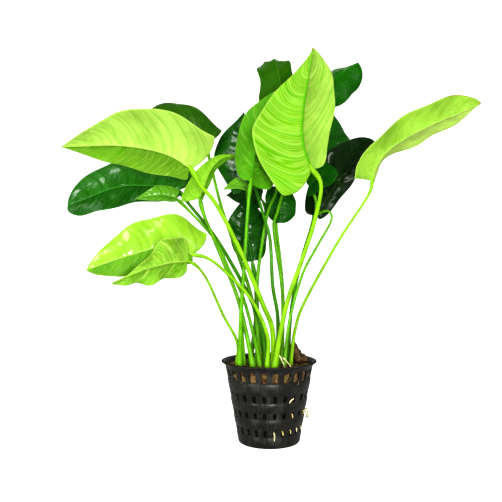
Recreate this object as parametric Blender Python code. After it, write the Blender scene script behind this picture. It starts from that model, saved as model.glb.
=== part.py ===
"""Potted anubias: twenty broad leaves on slim stalks, rooted in a slotted net pot.

Metres, +Z up. The origin is the middle of the pot's underside, and the front of the plant faces -Y.
"""

import math
from dataclasses import dataclass

import bpy
from mathutils import Vector

MM = 0.001

# The pot, in millimetres.
POT_HEIGHT = 48.3
BASE_RADIUS = 18.3
SHOULDER_RADIUS = 26.4
LIP_OVERHANG = 2.1
LIP_HEIGHT = 2.2
POT_WALL = 1.1
BASE_CHAMFER = 0.9
SLOTS_AROUND = 24
FIRST_SLOT_TURN = 7.0
BASE_SLOTS_AROUND = 12
BASE_SLOT_REACH = (0.38, 0.77)


@dataclass
class SlotRow:
    """One row of slots: its lower and upper edge as shares of the pot's height, and a slot's width."""

    low: float
    high: float
    width: float


SLOT_ROWS = (
    SlotRow(low=0.145, high=0.228, width=1.9),
    SlotRow(low=0.364, high=0.439, width=2.0),
    SlotRow(low=0.565, high=0.648, width=2.1),
    SlotRow(low=0.799, high=0.923, width=3.7),
)

# The fibre plug and what grows from it, in millimetres.
GAP = 0.3
PLUG_BELOW_LIP = 3.3
PLUG_TOP = POT_HEIGHT - PLUG_BELOW_LIP
CROWN_DRAWN_FOR = 26.4  # The shoulder radius that the places on the crown are given for.
CROWN_SPREAD = SHOULDER_RADIUS / CROWN_DRAWN_FOR
STALK_FOOT_RADIUS = 1.35
STALK_TOP_RADIUS = 0.9
STALK_STEPS = 12
UPRIGHT_FOOT = 3.0
JOINT_GAP = 1.3
BLADE_THICKNESS = 0.7
TIP_WIDTH = 0.5
LOBE_FADE = 1.2
BULGE = 0.08
RIPPLES = 3
BLADE_ROWS = 10
BLADE_COLUMNS = 3
ROW_CROWDING = 1.45
TUBE_SIDES = 6
ROOT_RADIUS = 0.45
ROOT_STEPS = 8
ROOT_CLEARANCE = GAP + ROOT_RADIUS + 0.1

LIGHT = (0.38, 0.70, 0.05)
FRESH = (0.21, 0.50, 0.03)
DEEP = (0.04, 0.20, 0.015)
DARK = (0.012, 0.075, 0.012)


@dataclass
class Half:
    """Half a blade, from the rib to one margin, in millimetres.

    reach runs from the rib to the margin where the half is widest, and turns towards at_tip, if given,
    on the way to the tip. shoulder is the width at the joint as a share of the widest, lobe is how far
    the base hangs back behind the joint, and sweep is how far the veins lean towards the tip.
    """

    reach: tuple
    at_tip: tuple = None
    shoulder: float = 0.5
    lobe: float = 7.0
    widest: float = 0.34
    taper: float = 1.1
    sweep: float = 0.15


@dataclass
class Leaf:
    """One leaf. Lengths are millimetres, and heights are above the top of the fibre plug.

    stalk holds the points between the foot and the joint, and rib those from the joint to the tip.
    right and left are as seen on the upper face with the tip ahead.
    """

    name: str
    colour: tuple
    foot: tuple
    stalk: tuple
    rib: tuple
    right: Half
    left: Half
    ripple: float = 0.0
    size: float = 1.0


LEAVES = (
    Leaf("front", LIGHT, foot=(3, -17), size=1.1,
         stalk=((9, -20, 36.5), (18, -24, 64), (24, -29, 83.5), (27.5, -35, 104)),
         rib=((22.5, -34, 113), (18, -33, 127), (18, -30, 145.5), (24, -24, 183)),
         right=Half((-27, 4, -1), shoulder=0.7, lobe=13.8, widest=0.3, taper=1.45, sweep=0.05),
         left=Half((18.5, 12, 0), shoulder=0.08, lobe=-1, widest=0.45, taper=0.8, sweep=0.35)),
    Leaf("upper_left", LIGHT, foot=(2.5, -9.5), size=1.15,
         stalk=((1.5, -12, 23.5), (-4, -15, 38), (-16.5, -20, 68), (-29.5, -25, 93.5), (-39, -28, 105.5)),
         rib=((-43.5, -29, 114.5), (-58, -32, 122.5), (-81.5, -38, 126), (-112, -42, 124.5)),
         right=Half((0, 12, -12), shoulder=0.4, lobe=-3, widest=0.3, taper=1.0),
         left=Half((3, -12, 23.5), (-3, -8, 13.5), shoulder=0.92, lobe=12, widest=0.3, taper=0.9,
                   sweep=0.1)),
    Leaf("left_dark", DARK, foot=(-2, -4),
         stalk=((-4, -4, 21.5), (-12, -3, 42), (-31, 3, 75), (-48, 6, 96.5)),
         rib=((-54.5, 5, 106), (-71.5, 1, 108), (-91.5, -5, 106), (-117, -14, 94.5)),
         right=Half((0, 8, 17), shoulder=0.6, lobe=14, widest=0.66, taper=0.45),
         left=Half((0, -7, -12), shoulder=0.2, lobe=1, widest=0.62, taper=0.5, sweep=0.05)),
    Leaf("left_edge", FRESH, foot=(-6, -7), size=0.8,
         stalk=((-10, -4, 21.5), (-16, -0.5, 42), (-24, -3, 58), (-32, -3.5, 75), (-46, -5, 91)),
         rib=((-54.5, -11, 100), (-64, -14.5, 101), (-77, -18, 98.5)),
         right=Half((0, 2, 6), shoulder=0.7, lobe=2), left=Half((0, -2, -3.5), lobe=1)),
    Leaf("yellow", LIGHT, foot=(-10, -12),
         stalk=((-15, -9.5, 27), (-20, -9, 45), (-32.5, -9, 75.5), (-38.5, -8, 90)),
         rib=((-41.5, -8, 99.5), (-38.5, -7, 108), (-34.5, -5, 117.5), (-28, 0, 124.5), (-18.5, 6, 127)),
         right=Half((-11, -3, 0), (-1, -2, 3), shoulder=0.8, lobe=2, widest=0.12, taper=0.6),
         left=Half((2.5, 6, -1), (1, 4, -3), shoulder=0.6, lobe=1, widest=0.4, taper=0.7)),
    Leaf("middle", FRESH, foot=(-17.5, -12), size=0.95,
         stalk=((-16.5, -14, 34.5), (-15, -16, 56.5), (-12.5, -19, 93)),
         rib=((-11, -20, 107), (-9, -19, 120.5), (-4.5, -15, 139.5), (4, -10, 153.5), (14.5, -4, 165.5)),
         right=Half((-12, 9, -1), (-14, 8, 8), shoulder=0.35, lobe=-3, widest=0.42, taper=0.7),
         left=Half((17, 8, 0), shoulder=0.6, lobe=3, widest=0.4, taper=0.9)),
    Leaf("top_back_left", DEEP, foot=(-5, 4.5), ripple=2.2, size=0.85,
         stalk=((-7.5, 3, 40.5), (-5.5, 3, 64), (-0.5, 4, 92.5), (5, 8, 106), (8.5, 15, 131.5)),
         rib=((9, 20, 151.5), (8.5, 25, 171.5), (6, 34, 189.5), (4.5, 44, 196.5), (2.5, 58, 192.5)),
         right=Half((-14, 2, -2)), left=Half((12, 4, 0))),
    Leaf("top_back_right", DEEP, foot=(8, 2.5), ripple=1.5, size=0.85,
         stalk=((8.5, 3, 33), (7.5, 3, 51), (3, 1, 81.5), (5, 2, 92), (10.5, 6, 109.5), (19.5, 15, 131.5)),
         rib=((26, 22, 152), (34, 26, 170.5), (48, 32, 184.5), (60, 38, 193)),
         right=Half((2, 3, -12), (8, 3, -17), shoulder=0.1, lobe=0, widest=0.65, taper=0.5),
         left=Half((-8, 12, 4), shoulder=0.4, lobe=3)),
    Leaf("left_back", DEEP, foot=(-7.5, -1), size=0.9,
         stalk=((-7, 0, 21.5), (-12.5, 3, 48), (-28, 9, 92.5), (-35.5, 12, 121.5)),
         rib=((-38.5, 12, 135), (-52.5, 18, 148), (-72.5, 26, 152), (-98, 36, 146)),
         right=Half((4, 9, 16), (-4, 9, 11), shoulder=0.95, lobe=8, widest=0.3),
         left=Half((0, -3, -14), lobe=-1.5)),
    Leaf("back_left_dark", DARK, foot=(5, -4.5), size=0.9,
         stalk=((5, -5, 29.5), (2, -6, 48.5), (0.5, -6, 75), (-3, -4, 88.5), (-7, 2, 102.5)),
         rib=((-9.5, 8, 111.5), (-17, 14, 125.5), (-19.5, 20, 140), (-15.5, 28, 158)),
         right=Half((14, 6, 0), lobe=6),
         left=Half((-17.5, 3, -2), (-12, 6, 0), shoulder=0.85, lobe=8, widest=0.35)),
    Leaf("young", LIGHT, foot=(-15, -2.5), size=0.7,
         stalk=((-16.5, -5, 34), (-15, -6, 56.5), (-12.5, -5, 93.5)),
         rib=((-13, -4, 106), (-19, -5, 108), (-27, -8, 105)),
         right=Half((0, 3, 4.5), lobe=1), left=Half((0, -3, -2.5), lobe=1)),
    Leaf("right_back_dark", DARK, foot=(12, 6), size=0.85,
         stalk=((14, 8, 33.5), (20.5, 11, 64), (28, 12, 91)),
         rib=((28.5, 15, 120), (34.5, 20, 136.5), (42.5, 28, 156.5)),
         right=Half((19, 6, -5), lobe=3), left=Half((-14, 6, 3), lobe=5)),
    Leaf("right_dark", DARK, foot=(9, -8), size=0.7,
         stalk=((12, -7, 28), (19.5, -6, 54.5), (28, -3, 70.5), (36.5, -3, 85.5),
                (36.5, -4, 91.5), (33, -2, 92.5)),
         rib=((29, 4, 90.5), (36.5, 7, 102.5), (50, 12, 119.5), (67.5, 21, 138)),
         right=Half((6, 3, -4.5), shoulder=0.3, lobe=1), left=Half((-12, 3, 10), shoulder=0.35, lobe=3,
                                                                 widest=0.6, taper=0.55)),
    Leaf("small_dark", DEEP, foot=(3.5, 1), size=0.8,
         stalk=((7, -2, 22), (13.5, -3, 47.5), (21, -3, 68), (28, -4, 94.5)),
         rib=((24, -2, 107.5), (31, -4, 113), (40.5, -8, 114)),
         right=Half((0, -4, -8), lobe=2, taper=0.7), left=Half((0, 4, 9), lobe=2, taper=0.7)),
    Leaf("right_leaf", LIGHT, foot=(13, -3), size=0.75,
         stalk=((15.5, -4, 22.5), (21, -7, 39), (40, -13, 74.5), (56, -18, 100)),
         rib=((58, -18, 109), (60, -20, 116), (66.5, -23, 125.5), (84, -26, 136.5), (116.5, -30, 150.5)),
         right=Half((-11, -4, 1), (-1, -6, 17), shoulder=0.95, lobe=0, widest=0.5, taper=0.8),
         left=Half((3, 13, -1), (3, 8, -9), shoulder=0.5, lobe=2, widest=0.5)),
    Leaf("low_left", LIGHT, foot=(-1.5, -17), size=0.85,
         stalk=((-1.5, -18, 20.5), (-11, -20, 41.5), (-27, -23, 58.5), (-36, -25, 65)),
         rib=((-43.5, -26, 66.5), (-55.5, -32, 71.5), (-76.5, -38, 66.5), (-98.5, -43, 58.5)),
         right=Half((2, 7, 17), (-3, 7, 20), shoulder=0.85, lobe=7, widest=0.3, taper=0.8),
         left=Half((0, -1, -11), shoulder=0.3, lobe=0, widest=0.5, taper=0.8)),
    Leaf("low_left_front", FRESH, foot=(-19, -7), size=0.7,
         stalk=((-19, -9, 15.5), (-27, -15, 32), (-34.5, -30, 51.5), (-39.5, -39, 60)),
         rib=((-44, -44, 63.5), (-54, -51, 62.5), (-68, -56, 58.5), (-81.5, -60, 52)),
         right=Half((0, 4, -9), shoulder=0.3, lobe=-1, widest=0.3, taper=0.9),
         left=Half((0, -3, 13), shoulder=0.75, lobe=1, widest=0.16, taper=3.2)),
    Leaf("low_centre", DARK, foot=(-11, 6),
         stalk=((-8, 6.5, 26.5), (-8, 8, 48)),
         rib=((-10, 10, 62), (-12.5, 13, 78.5), (-14, 20, 103)),
         right=Half((12, 2, 0), shoulder=0.3, lobe=-1, widest=0.5),
         left=Half((-12, 2, 0), shoulder=0.4, lobe=0, widest=0.5)),
    Leaf("hanging", DEEP, foot=(7, 8), size=0.8,
         stalk=((9, 10, 32.5), (8, 12, 57), (5, 14, 85), (5, 15, 103)),
         rib=((6, 11, 108), (7, 9, 98), (7.5, 10, 86)),
         right=Half((-9, 4, 0), lobe=1, widest=0.5, taper=0.5),
         left=Half((10, 2, 0), lobe=1, widest=0.5, taper=0.5)),
    Leaf("centre_back", DARK, foot=(-3, 14), size=0.8,
         stalk=((-7, 14, 39.5), (-4.5, 18, 69.5), (-1.5, 22, 93)),
         rib=((-4, 25, 102), (-13.5, 32, 106.5), (-27, 40, 105.5)),
         right=Half((2, 6, 9), lobe=0), left=Half((0, -4, -9), lobe=-1)),
)


def clear_scene():
    for obj in list(bpy.data.objects):
        bpy.data.objects.remove(obj)


def material(name, colour, roughness, metallic=0.0):
    made = bpy.data.materials.new(name)
    made.use_nodes = True
    shader = made.node_tree.nodes["Principled BSDF"]
    shader.inputs["Base Color"].default_value = (*colour, 1.0)
    shader.inputs["Roughness"].default_value = roughness
    shader.inputs["Metallic"].default_value = metallic
    return made


def add_mesh(name, points, faces, finish):
    """A new object from points in millimetres."""
    mesh = bpy.data.meshes.new(name)
    mesh.from_pydata([Vector(point) * MM for point in points], [], faces)
    mesh.materials.append(finish)
    mesh.shade_smooth()
    mesh.set_sharp_from_angle(angle=math.radians(40))
    obj = bpy.data.objects.new(name, mesh)
    bpy.context.scene.collection.objects.link(obj)
    return obj


def add_thickness(obj, thickness, offset):
    wall = obj.modifiers.new("wall", "SOLIDIFY")
    wall.thickness = thickness * MM
    wall.offset = offset
    wall.use_even_offset = True


def add_tube(name, points, radii, sides, finish):
    """A closed round tube along points in millimetres, with one radius for each point."""
    curve = bpy.data.curves.new(name, "CURVE")
    curve.dimensions = "3D"
    curve.bevel_depth = MM
    curve.bevel_resolution = sides // 2 - 2
    curve.use_fill_caps = True
    curve.materials.append(finish)
    line = curve.splines.new("POLY")
    line.points.add(len(points) - 1)
    for knot, point, radius in zip(line.points, points, radii):
        knot.co = (*(Vector(point) * MM), 1.0)
        knot.radius = radius
    obj = bpy.data.objects.new(name, curve)
    bpy.context.scene.collection.objects.link(obj)
    return obj


def smooth_line(points, samples=24):
    """A dense Catmull-Rom line through the points, samples to a span."""
    knots = [Vector(point) for point in points]
    knots = [2 * knots[0] - knots[1], *knots, 2 * knots[-1] - knots[-2]]
    line = []
    for before, start, end, after in zip(knots, knots[1:], knots[2:], knots[3:]):
        for step in range(samples):
            t = step / samples
            line.append(0.5 * (2 * start + (end - before) * t
                               + (2 * before - 5 * start + 4 * end - after) * t ** 2
                               + (3 * start - before - 3 * end + after) * t ** 3))
    line.append(knots[-2])
    return line


def spread(line, shares):
    """Points of a dense line at the given shares of its length, which rise from 0 to 1."""
    lengths = [0.0]
    for start, end in zip(line, line[1:]):
        lengths.append(lengths[-1] + (end - start).length)
    points = []
    index = 0
    for share in shares:
        wanted = lengths[-1] * share
        while index < len(line) - 2 and lengths[index + 1] < wanted:
            index += 1
        part = (wanted - lengths[index]) / (lengths[index + 1] - lengths[index])
        points.append(line[index].lerp(line[index + 1], min(part, 1.0)))
    return points


def evenly(steps):
    return [step / steps for step in range(steps + 1)]


def wall_radius(height):
    """The pot's outer radius at a height above the floor."""
    shoulder_height = POT_HEIGHT - LIP_HEIGHT
    return BASE_RADIUS + (SHOULDER_RADIUS - BASE_RADIUS) * height / shoulder_height


def ring_angles(width):
    """The turn of each edge round the wall: both edges of every slot, width wide, in radians."""
    pitch = 2 * math.pi / SLOTS_AROUND
    for index in range(SLOTS_AROUND):
        middle = math.radians(FIRST_SLOT_TURN - 90) + index * pitch
        yield middle - width / 2
        yield middle + width / 2


def pot_rings():
    """The skin's rings from the middle of the base up to the lip, and the rings that slots start from.

    Each ring is (radius, height, the turn that a slot takes up).
    """
    even = math.pi / SLOTS_AROUND
    rings = [(BASE_RADIUS * reach, 0.0, even) for reach in BASE_SLOT_REACH]
    rings += [(BASE_RADIUS - BASE_CHAMFER, 0.0, even), (wall_radius(BASE_CHAMFER), BASE_CHAMFER, even)]
    slotted = set()
    for row in SLOT_ROWS:
        slotted.add(len(rings))
        for height in (POT_HEIGHT * row.low, POT_HEIGHT * row.high):
            radius = wall_radius(height)
            rings.append((radius, height, row.width / radius))
    shoulder = POT_HEIGHT - LIP_HEIGHT
    rings.append((SHOULDER_RADIUS, shoulder, even))
    lip_radius = SHOULDER_RADIUS + LIP_OVERHANG
    rings.append((lip_radius - 0.4, shoulder + 0.35 * LIP_HEIGHT, even))
    rings.append((lip_radius, shoulder + 0.6 * LIP_HEIGHT, even))
    rings.append((lip_radius, POT_HEIGHT, even))
    return rings, slotted


def make_pot():
    rings, slotted = pot_rings()
    across = 2 * SLOTS_AROUND
    points = [(0.0, 0.0, 0.0)]
    for radius, height, width in rings:
        for turn in ring_angles(width):
            points.append((radius * math.cos(turn), radius * math.sin(turn), height))
    faces = [(0, 1 + (side + 1) % across, 1 + side) for side in range(across)]
    base_every = 2 * SLOTS_AROUND // BASE_SLOTS_AROUND
    for ring in range(len(rings) - 1):
        for side in range(across):
            is_base_slot = ring == 0 and side % base_every == 0
            is_wall_slot = ring in slotted and side % 2 == 0
            if is_base_slot or is_wall_slot:
                continue
            low = 1 + ring * across
            here, there = side, (side + 1) % across
            faces.append((low + here, low + there, low + across + there, low + across + here))
    pot = add_mesh("net_pot", points, faces, material("pot_plastic", (0.02, 0.021, 0.02), 0.35))
    add_thickness(pot, POT_WALL, -1.0)


def make_plug():
    """The fibre plug: it fills the pot from its floor to a little under the lip."""
    floor = POT_WALL + GAP
    across = 2 * SLOTS_AROUND
    turns = list(ring_angles(math.pi / SLOTS_AROUND))
    points = []
    for height in (floor, floor + BASE_CHAMFER, PLUG_TOP):
        radius = wall_radius(height) - POT_WALL - GAP
        if height == floor:
            radius -= BASE_CHAMFER
        points += [(radius * math.cos(turn), radius * math.sin(turn), height) for turn in turns]
    faces = [tuple(reversed(range(across))), tuple(range(2 * across, 3 * across))]
    for low in (0, across):
        for here in range(across):
            there = (here + 1) % across
            faces.append((low + here, low + there, low + across + there, low + across + here))
    add_mesh("growing_medium", points, faces, material("fibre", (0.035, 0.018, 0.008), 0.95))


def raised(points):
    """Points given above the plug, as points above the floor."""
    return [Vector(point) + Vector((0.0, 0.0, PLUG_TOP)) for point in points]


def on_crown(points):
    """Points on the plug's top, spread as wide as the pot allows."""
    return [(x * CROWN_SPREAD, y * CROWN_SPREAD, height) for x, y, height in points]


def make_stalk(leaf):
    foot, upright = on_crown(((*leaf.foot, GAP), (*leaf.foot, UPRIGHT_FOOT)))
    line = smooth_line(raised((foot, upright, *leaf.stalk, leaf.rib[0])))
    joint = line[-1]
    while (line[-1] - joint).length < JOINT_GAP:
        line.pop()
    points = spread(line, evenly(STALK_STEPS))
    thinning = (STALK_TOP_RADIUS - STALK_FOOT_RADIUS) / STALK_STEPS
    radii = [leaf.size * (STALK_FOOT_RADIUS + thinning * step) for step in range(STALK_STEPS + 1)]
    colour = LIGHT if leaf.colour in (LIGHT, FRESH) else FRESH
    add_tube("stalk_" + leaf.name, points, radii, TUBE_SIDES, material("stalk_" + leaf.name, colour, 0.4))


def row_share(row):
    """The share of the way along the rib of one row. The rows stand closer at the rounded base."""
    return (row / BLADE_ROWS) ** ROW_CROWDING


def half_width(half, along):
    """The width at a share of the way along the rib, as a share of the widest."""
    if along < half.widest:
        back = 1 - along / half.widest
        return half.shoulder + (1 - half.shoulder) * math.sqrt(1 - back ** 2)
    ahead = (along - half.widest) / (1 - half.widest)
    return max(math.cos(0.5 * math.pi * ahead), 0.0) ** half.taper


def blade_point(leaf, rib, row, across):
    """A point of the blade: row counts along the rib, and across runs from -1, left, to 1, right."""
    along = row_share(row)
    ahead = (rib[min(row + 1, BLADE_ROWS)] - rib[max(row - 1, 0)]).normalized()
    half = leaf.right if across > 0 else leaf.left
    side = Vector(half.reach).lerp(Vector(half.at_tip or half.reach), along)
    reach = abs(across)
    up = side.cross(ahead) if across > 0 else ahead.cross(side)
    up.normalize()
    width = max(half_width(half, along), TIP_WIDTH / side.length)
    spread_out = side.length * width
    back = half.lobe * max(1 - along / half.widest, 0.0) ** LOBE_FADE * reach * (2 - reach)
    forward = half.sweep * spread_out * reach ** 2 * min(along / half.widest, 1.0)
    lift = BULGE * spread_out * 4 * reach * (1 - reach)
    lift += leaf.ripple * reach ** 2 * math.sin(2 * math.pi * RIPPLES * along)
    return rib[row] + side * width * reach + ahead * (forward - back) + up * lift


def make_blade(leaf):
    line = smooth_line(raised(leaf.rib))
    rib = spread(line, [row_share(row) for row in range(BLADE_ROWS + 1)])
    across = 2 * BLADE_COLUMNS + 1
    points = []
    for row in range(BLADE_ROWS + 1):
        for column in range(across):
            points.append(blade_point(leaf, rib, row, column / BLADE_COLUMNS - 1))
    faces = []
    for row in range(BLADE_ROWS):
        for column in range(across - 1):
            corner = row * across + column
            faces.append((corner, corner + 1, corner + across + 1, corner + across))
    blade = add_mesh("leaf_" + leaf.name, points, faces, material("leaf_" + leaf.name, leaf.colour, 0.35))
    add_thickness(blade, BLADE_THICKNESS, 0.0)


def make_rhizome():
    """The creeping stem: a lump that lies on the plug and ends in a pointed bud."""
    line = on_crown(((22, 3, 3.6), (19, 4, 3.4), (17, 4, 4.5), (15.5, 4.5, 9.5), (14.8, 4.6, 15)))
    points = spread(smooth_line(raised(line)), evenly(10))
    radii = [2.0, 3.0, 3.1, 3.0, 2.9, 2.8, 2.5, 2.1, 1.6, 1.0, 0.4]
    add_tube("rhizome", points, radii, 10, material("rhizome", (0.10, 0.055, 0.02), 0.7))


def on_wall(turn, height, out):
    """A point by the pot's wall: turned from the front towards +X, and out from the outer face."""
    angle = math.radians(turn - 90)
    radius = wall_radius(height) + out
    return radius * math.cos(angle), radius * math.sin(angle), height


def slot_turn(number):
    """The turn of a slot's middle, counted from the front towards +X."""
    return FIRST_SLOT_TURN + number * 360 / SLOTS_AROUND


def make_root(name, points):
    line = spread(smooth_line(points), evenly(ROOT_STEPS))
    finish = material(name, (0.55, 0.47, 0.26), 0.6)
    add_tube(name, line, [ROOT_RADIUS] * len(line), TUBE_SIDES, finish)


def make_crown_roots():
    """Two short roots that arch from the crown down to the top of the plug."""
    left = ((5.5, -8.8, 7.5), (7, -11, 5.5), (8.4, -12.8, 2), (9.2, -13.7, ROOT_CLEARANCE))
    right = ((7.7, -9.2, 6.6), (10, -10.4, 4.2), (12, -11.6, 1.8), (13, -12.5, ROOT_CLEARANCE))
    make_root("root_crown_left", raised(on_crown(left)))
    make_root("root_crown_right", raised(on_crown(right)))


def make_slot_roots():
    """Four roots that come out through the slots and lie along the wall."""
    lowest, low, middle, _ = (POT_HEIGHT * (row.low + row.high) / 2 for row in SLOT_ROWS)
    inside = -POT_WALL / 2
    outside = ROOT_CLEARANCE
    front, here, there = slot_turn(0), slot_turn(1), slot_turn(2)
    make_root("root_front_upper", (
        on_wall(here, middle - 1, inside),
        on_wall(here + 1.7, middle - 1.2, outside),
        on_wall((here + there) / 2, middle + 0.2, outside + 0.3),
        on_wall(there - 1.7, middle - 0.3, outside),
        on_wall(there, middle - 0.3, inside)))
    make_root("root_front_lower", (
        on_wall(front, lowest + 0.8, inside),
        on_wall(front, lowest, outside),
        on_wall(front, lowest - 4, outside + 0.1)))
    for name, number, drop in (("root_side_upper", 5, 5.5), ("root_side_lower", 4, 4.0)):
        turn = slot_turn(number)
        make_root(name, (
            on_wall(turn, low + 0.6, inside),
            on_wall(turn, low + 0.2, outside + 0.2),
            on_wall(turn, low - drop / 2, outside + 1.3),
            on_wall(turn + 3, low - drop, outside + 1.1)))


clear_scene()
make_pot()
make_plug()
make_rhizome()
make_crown_roots()
make_slot_roots()
for each_leaf in LEAVES:
    make_stalk(each_leaf)
    make_blade(each_leaf)
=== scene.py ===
# %% [markdown]
# # A potted anubias, modelled leaf by leaf
#
# The plant is a broad-leaved water plant in a small black net pot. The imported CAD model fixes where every
# blade, stalk and root is and how big it is. This notebook gives each of them its real surface.
# Lengths in the tables are millimetres, because a maker thinks of a leaf in millimetres. Blender works in
# metres, so everything is multiplied by MM once, at the moment a point is placed.

# %% Load the frame
import math
import random
from contextlib import contextmanager
from dataclasses import dataclass

import bpy
from mathutils import Matrix, Vector, noise


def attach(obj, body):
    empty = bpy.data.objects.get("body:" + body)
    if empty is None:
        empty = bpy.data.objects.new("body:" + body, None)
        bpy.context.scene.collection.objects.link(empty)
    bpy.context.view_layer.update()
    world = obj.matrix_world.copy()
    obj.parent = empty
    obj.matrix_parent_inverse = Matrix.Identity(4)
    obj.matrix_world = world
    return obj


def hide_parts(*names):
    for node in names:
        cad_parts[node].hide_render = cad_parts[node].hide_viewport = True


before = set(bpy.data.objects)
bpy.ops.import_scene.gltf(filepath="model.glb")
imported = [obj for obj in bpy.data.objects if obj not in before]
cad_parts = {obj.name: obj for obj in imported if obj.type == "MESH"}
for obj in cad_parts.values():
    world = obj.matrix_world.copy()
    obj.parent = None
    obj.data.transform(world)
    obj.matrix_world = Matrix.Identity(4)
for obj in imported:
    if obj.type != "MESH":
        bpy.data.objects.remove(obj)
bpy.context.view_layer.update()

MM = 0.001
ROOT_BODY = "root"

# %% [markdown]
# ## The camera
#
# The plant is looked at from straight in front, a little below the middle of its leaves, so the rim of the
# pot is seen slightly from above and the big leaves slightly from below. A camera that looks level keeps
# upright things upright.

# %% Place the camera
CAMERA_PLACE = (-10.8, -386.0, 113.7)
CAMERA_LENS = 46.1
CAMERA_SENSOR = 36.0

bpy.ops.object.select_all(action="DESELECT")
bpy.ops.object.camera_add(location=Vector(CAMERA_PLACE) * MM, rotation=(math.pi / 2, 0.0, 0.0))
camera = bpy.context.object
camera.data.lens = CAMERA_LENS
camera.data.sensor_width = CAMERA_SENSOR
camera.data.clip_start = 0.01
bpy.context.scene.camera = camera
print("camera at", [round(value, 3) for value in camera.location])

# %% [markdown]
# ## Helpers for growing a shape
#
# A leaf blade, a stalk and a root all have the same build: a sleeve that is closed at both ends. A blade is
# just a very flat one. So one helper makes them all. It adds a grid, the flat primitive that has rows and
# columns and a UV map, puts each of its points where a rule says, and then merges the two edges that meet.
# Bending a grid by hand, point by point, would give twenty slightly wrong leaves. A rule gives every leaf
# its own shape from a few lengths, and the rows and columns run with the veins.

# %% Helper: a closed sleeve from a grid
MERGE = 1e-6


@contextmanager
def editing(kind="VERT"):
    """Edit mode for the steps inside the with, selecting by points or by faces."""
    bpy.ops.object.mode_set(mode="EDIT")
    bpy.ops.mesh.select_mode(type=kind)
    yield
    bpy.ops.object.mode_set(mode="OBJECT")


def new_grid(columns, rows):
    """A flat grid from -0.5 to 0.5, and the column and row of each of its points."""
    bpy.ops.object.select_all(action="DESELECT")
    bpy.ops.mesh.primitive_grid_add(x_subdivisions=columns, y_subdivisions=rows, size=1.0)
    grid = bpy.context.object
    spots = []
    for vertex in grid.data.vertices:
        spots.append((round((vertex.co.x + 0.5) * columns), round((vertex.co.y + 0.5) * rows)))
    return grid, spots


def close_up():
    """Merges the points of the active piece that meet, and turns every face outwards."""
    with editing():
        bpy.ops.mesh.select_all(action="SELECT")
        bpy.ops.mesh.remove_doubles(threshold=MERGE)
        bpy.ops.mesh.normals_make_consistent(inside=False)
    bpy.ops.object.shade_smooth()


def join_all(pieces):
    """Joins the pieces into the first of them."""
    bpy.ops.object.select_all(action="DESELECT")
    for piece in pieces:
        piece.select_set(True)
    bpy.context.view_layer.objects.active = pieces[0]
    bpy.ops.object.join()
    return pieces[0]


def grow_sleeve(name, around, along, place, chart, layer=None):
    """A grid rolled into a sleeve.

    place(i, j) is a point in millimetres, and chart(i, j) its spot on the UV map. layer(i), if given, is
    the number of the material that the faces from column i on wear.
    """
    piece, spots = new_grid(around, along)
    piece.name = name
    mesh = piece.data
    mesh.name = name
    for vertex, spot in zip(mesh.vertices, spots):
        vertex.co = place(*spot) * MM
    uvs = mesh.uv_layers.active.data
    for loop in mesh.loops:
        uvs[loop.index].uv = chart(*spots[loop.vertex_index])
    if layer:
        for face in mesh.polygons:
            face.material_index = layer(min(spots[corner][0] for corner in face.vertices))
    close_up()
    return piece


# %% Helper: smooth lines through a few points
def smooth_line(points, samples=24):
    """A dense Catmull-Rom line through the points, samples to a span."""
    knots = [Vector(point) for point in points]
    knots = [2 * knots[0] - knots[1], *knots, 2 * knots[-1] - knots[-2]]
    line = []
    for before, start, end, after in zip(knots, knots[1:], knots[2:], knots[3:]):
        for step in range(samples):
            t = step / samples
            line.append(0.5 * (2 * start + (end - before) * t
                               + (2 * before - 5 * start + 4 * end - after) * t ** 2
                               + (3 * start - before - 3 * end + after) * t ** 3))
    line.append(knots[-2])
    return line


def line_length(line):
    """The length of a dense line."""
    return sum((end - start).length for start, end in zip(line, line[1:]))


def spread(line, shares):
    """Points of a dense line at the given shares of its length, which rise from 0 to 1."""
    lengths = [0.0]
    for start, end in zip(line, line[1:]):
        lengths.append(lengths[-1] + (end - start).length)
    points = []
    index = 0
    for share in shares:
        wanted = lengths[-1] * share
        while index < len(line) - 2 and lengths[index + 1] < wanted:
            index += 1
        part = (wanted - lengths[index]) / (lengths[index + 1] - lengths[index])
        points.append(line[index].lerp(line[index + 1], min(part, 1.0)))
    return points


# %% Helper: a tube that thickens and thins along a line
def rings_along(points):
    """A centre and two cross directions for each point, carried along the line without twisting."""
    heading = (points[1] - points[0]).normalized()
    side = heading.orthogonal().normalized()
    rings = []
    for index, point in enumerate(points):
        before, after = points[max(index - 1, 0)], points[min(index + 1, len(points) - 1)]
        ahead = (after - before).normalized()
        side = (side - ahead * side.dot(ahead)).normalized()
        rings.append((point, side, ahead.cross(side)))
    return rings


def grow_tube(name, line, around, steps, radius):
    """A closed tube. radius(turn, share) is in millimetres: turn is an angle, share the way along."""
    shares = [step / steps for step in range(steps + 1)]
    rings = rings_along(spread(line, shares))

    def place(i, j):
        centre, side, across = rings[j]
        if j in (0, steps):
            return centre.copy()
        turn = 2 * math.pi * (i % around) / around
        return centre + (side * math.cos(turn) + across * math.sin(turn)) * radius(turn, shares[j])

    return grow_sleeve(name, around, steps, place, lambda i, j: (i / around, shares[j]))


def stand_in_for(piece, node, slot, *finishes):
    """Dresses a finished piece, hangs it on the root body and hides the CAD part that it replaces."""
    for finish in finishes:
        piece.data.materials.append(finish)
    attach(piece, ROOT_BODY)
    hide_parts(node)


print("helpers ready")

# %% [markdown]
# ## Finishes
#
# Every surface here is alive or has been handled, so none is one flat colour. Two effects come back again
# and again, so each is a node group: mottling, the soft cloudy change of tone across a leaf, a stalk or
# a pot wall, and the vein pattern of a blade. The pattern reads the blade's UV map: across the
# map is across the leaf, and up the map is from the joint to the tip, so the veins follow the leaf.

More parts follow.
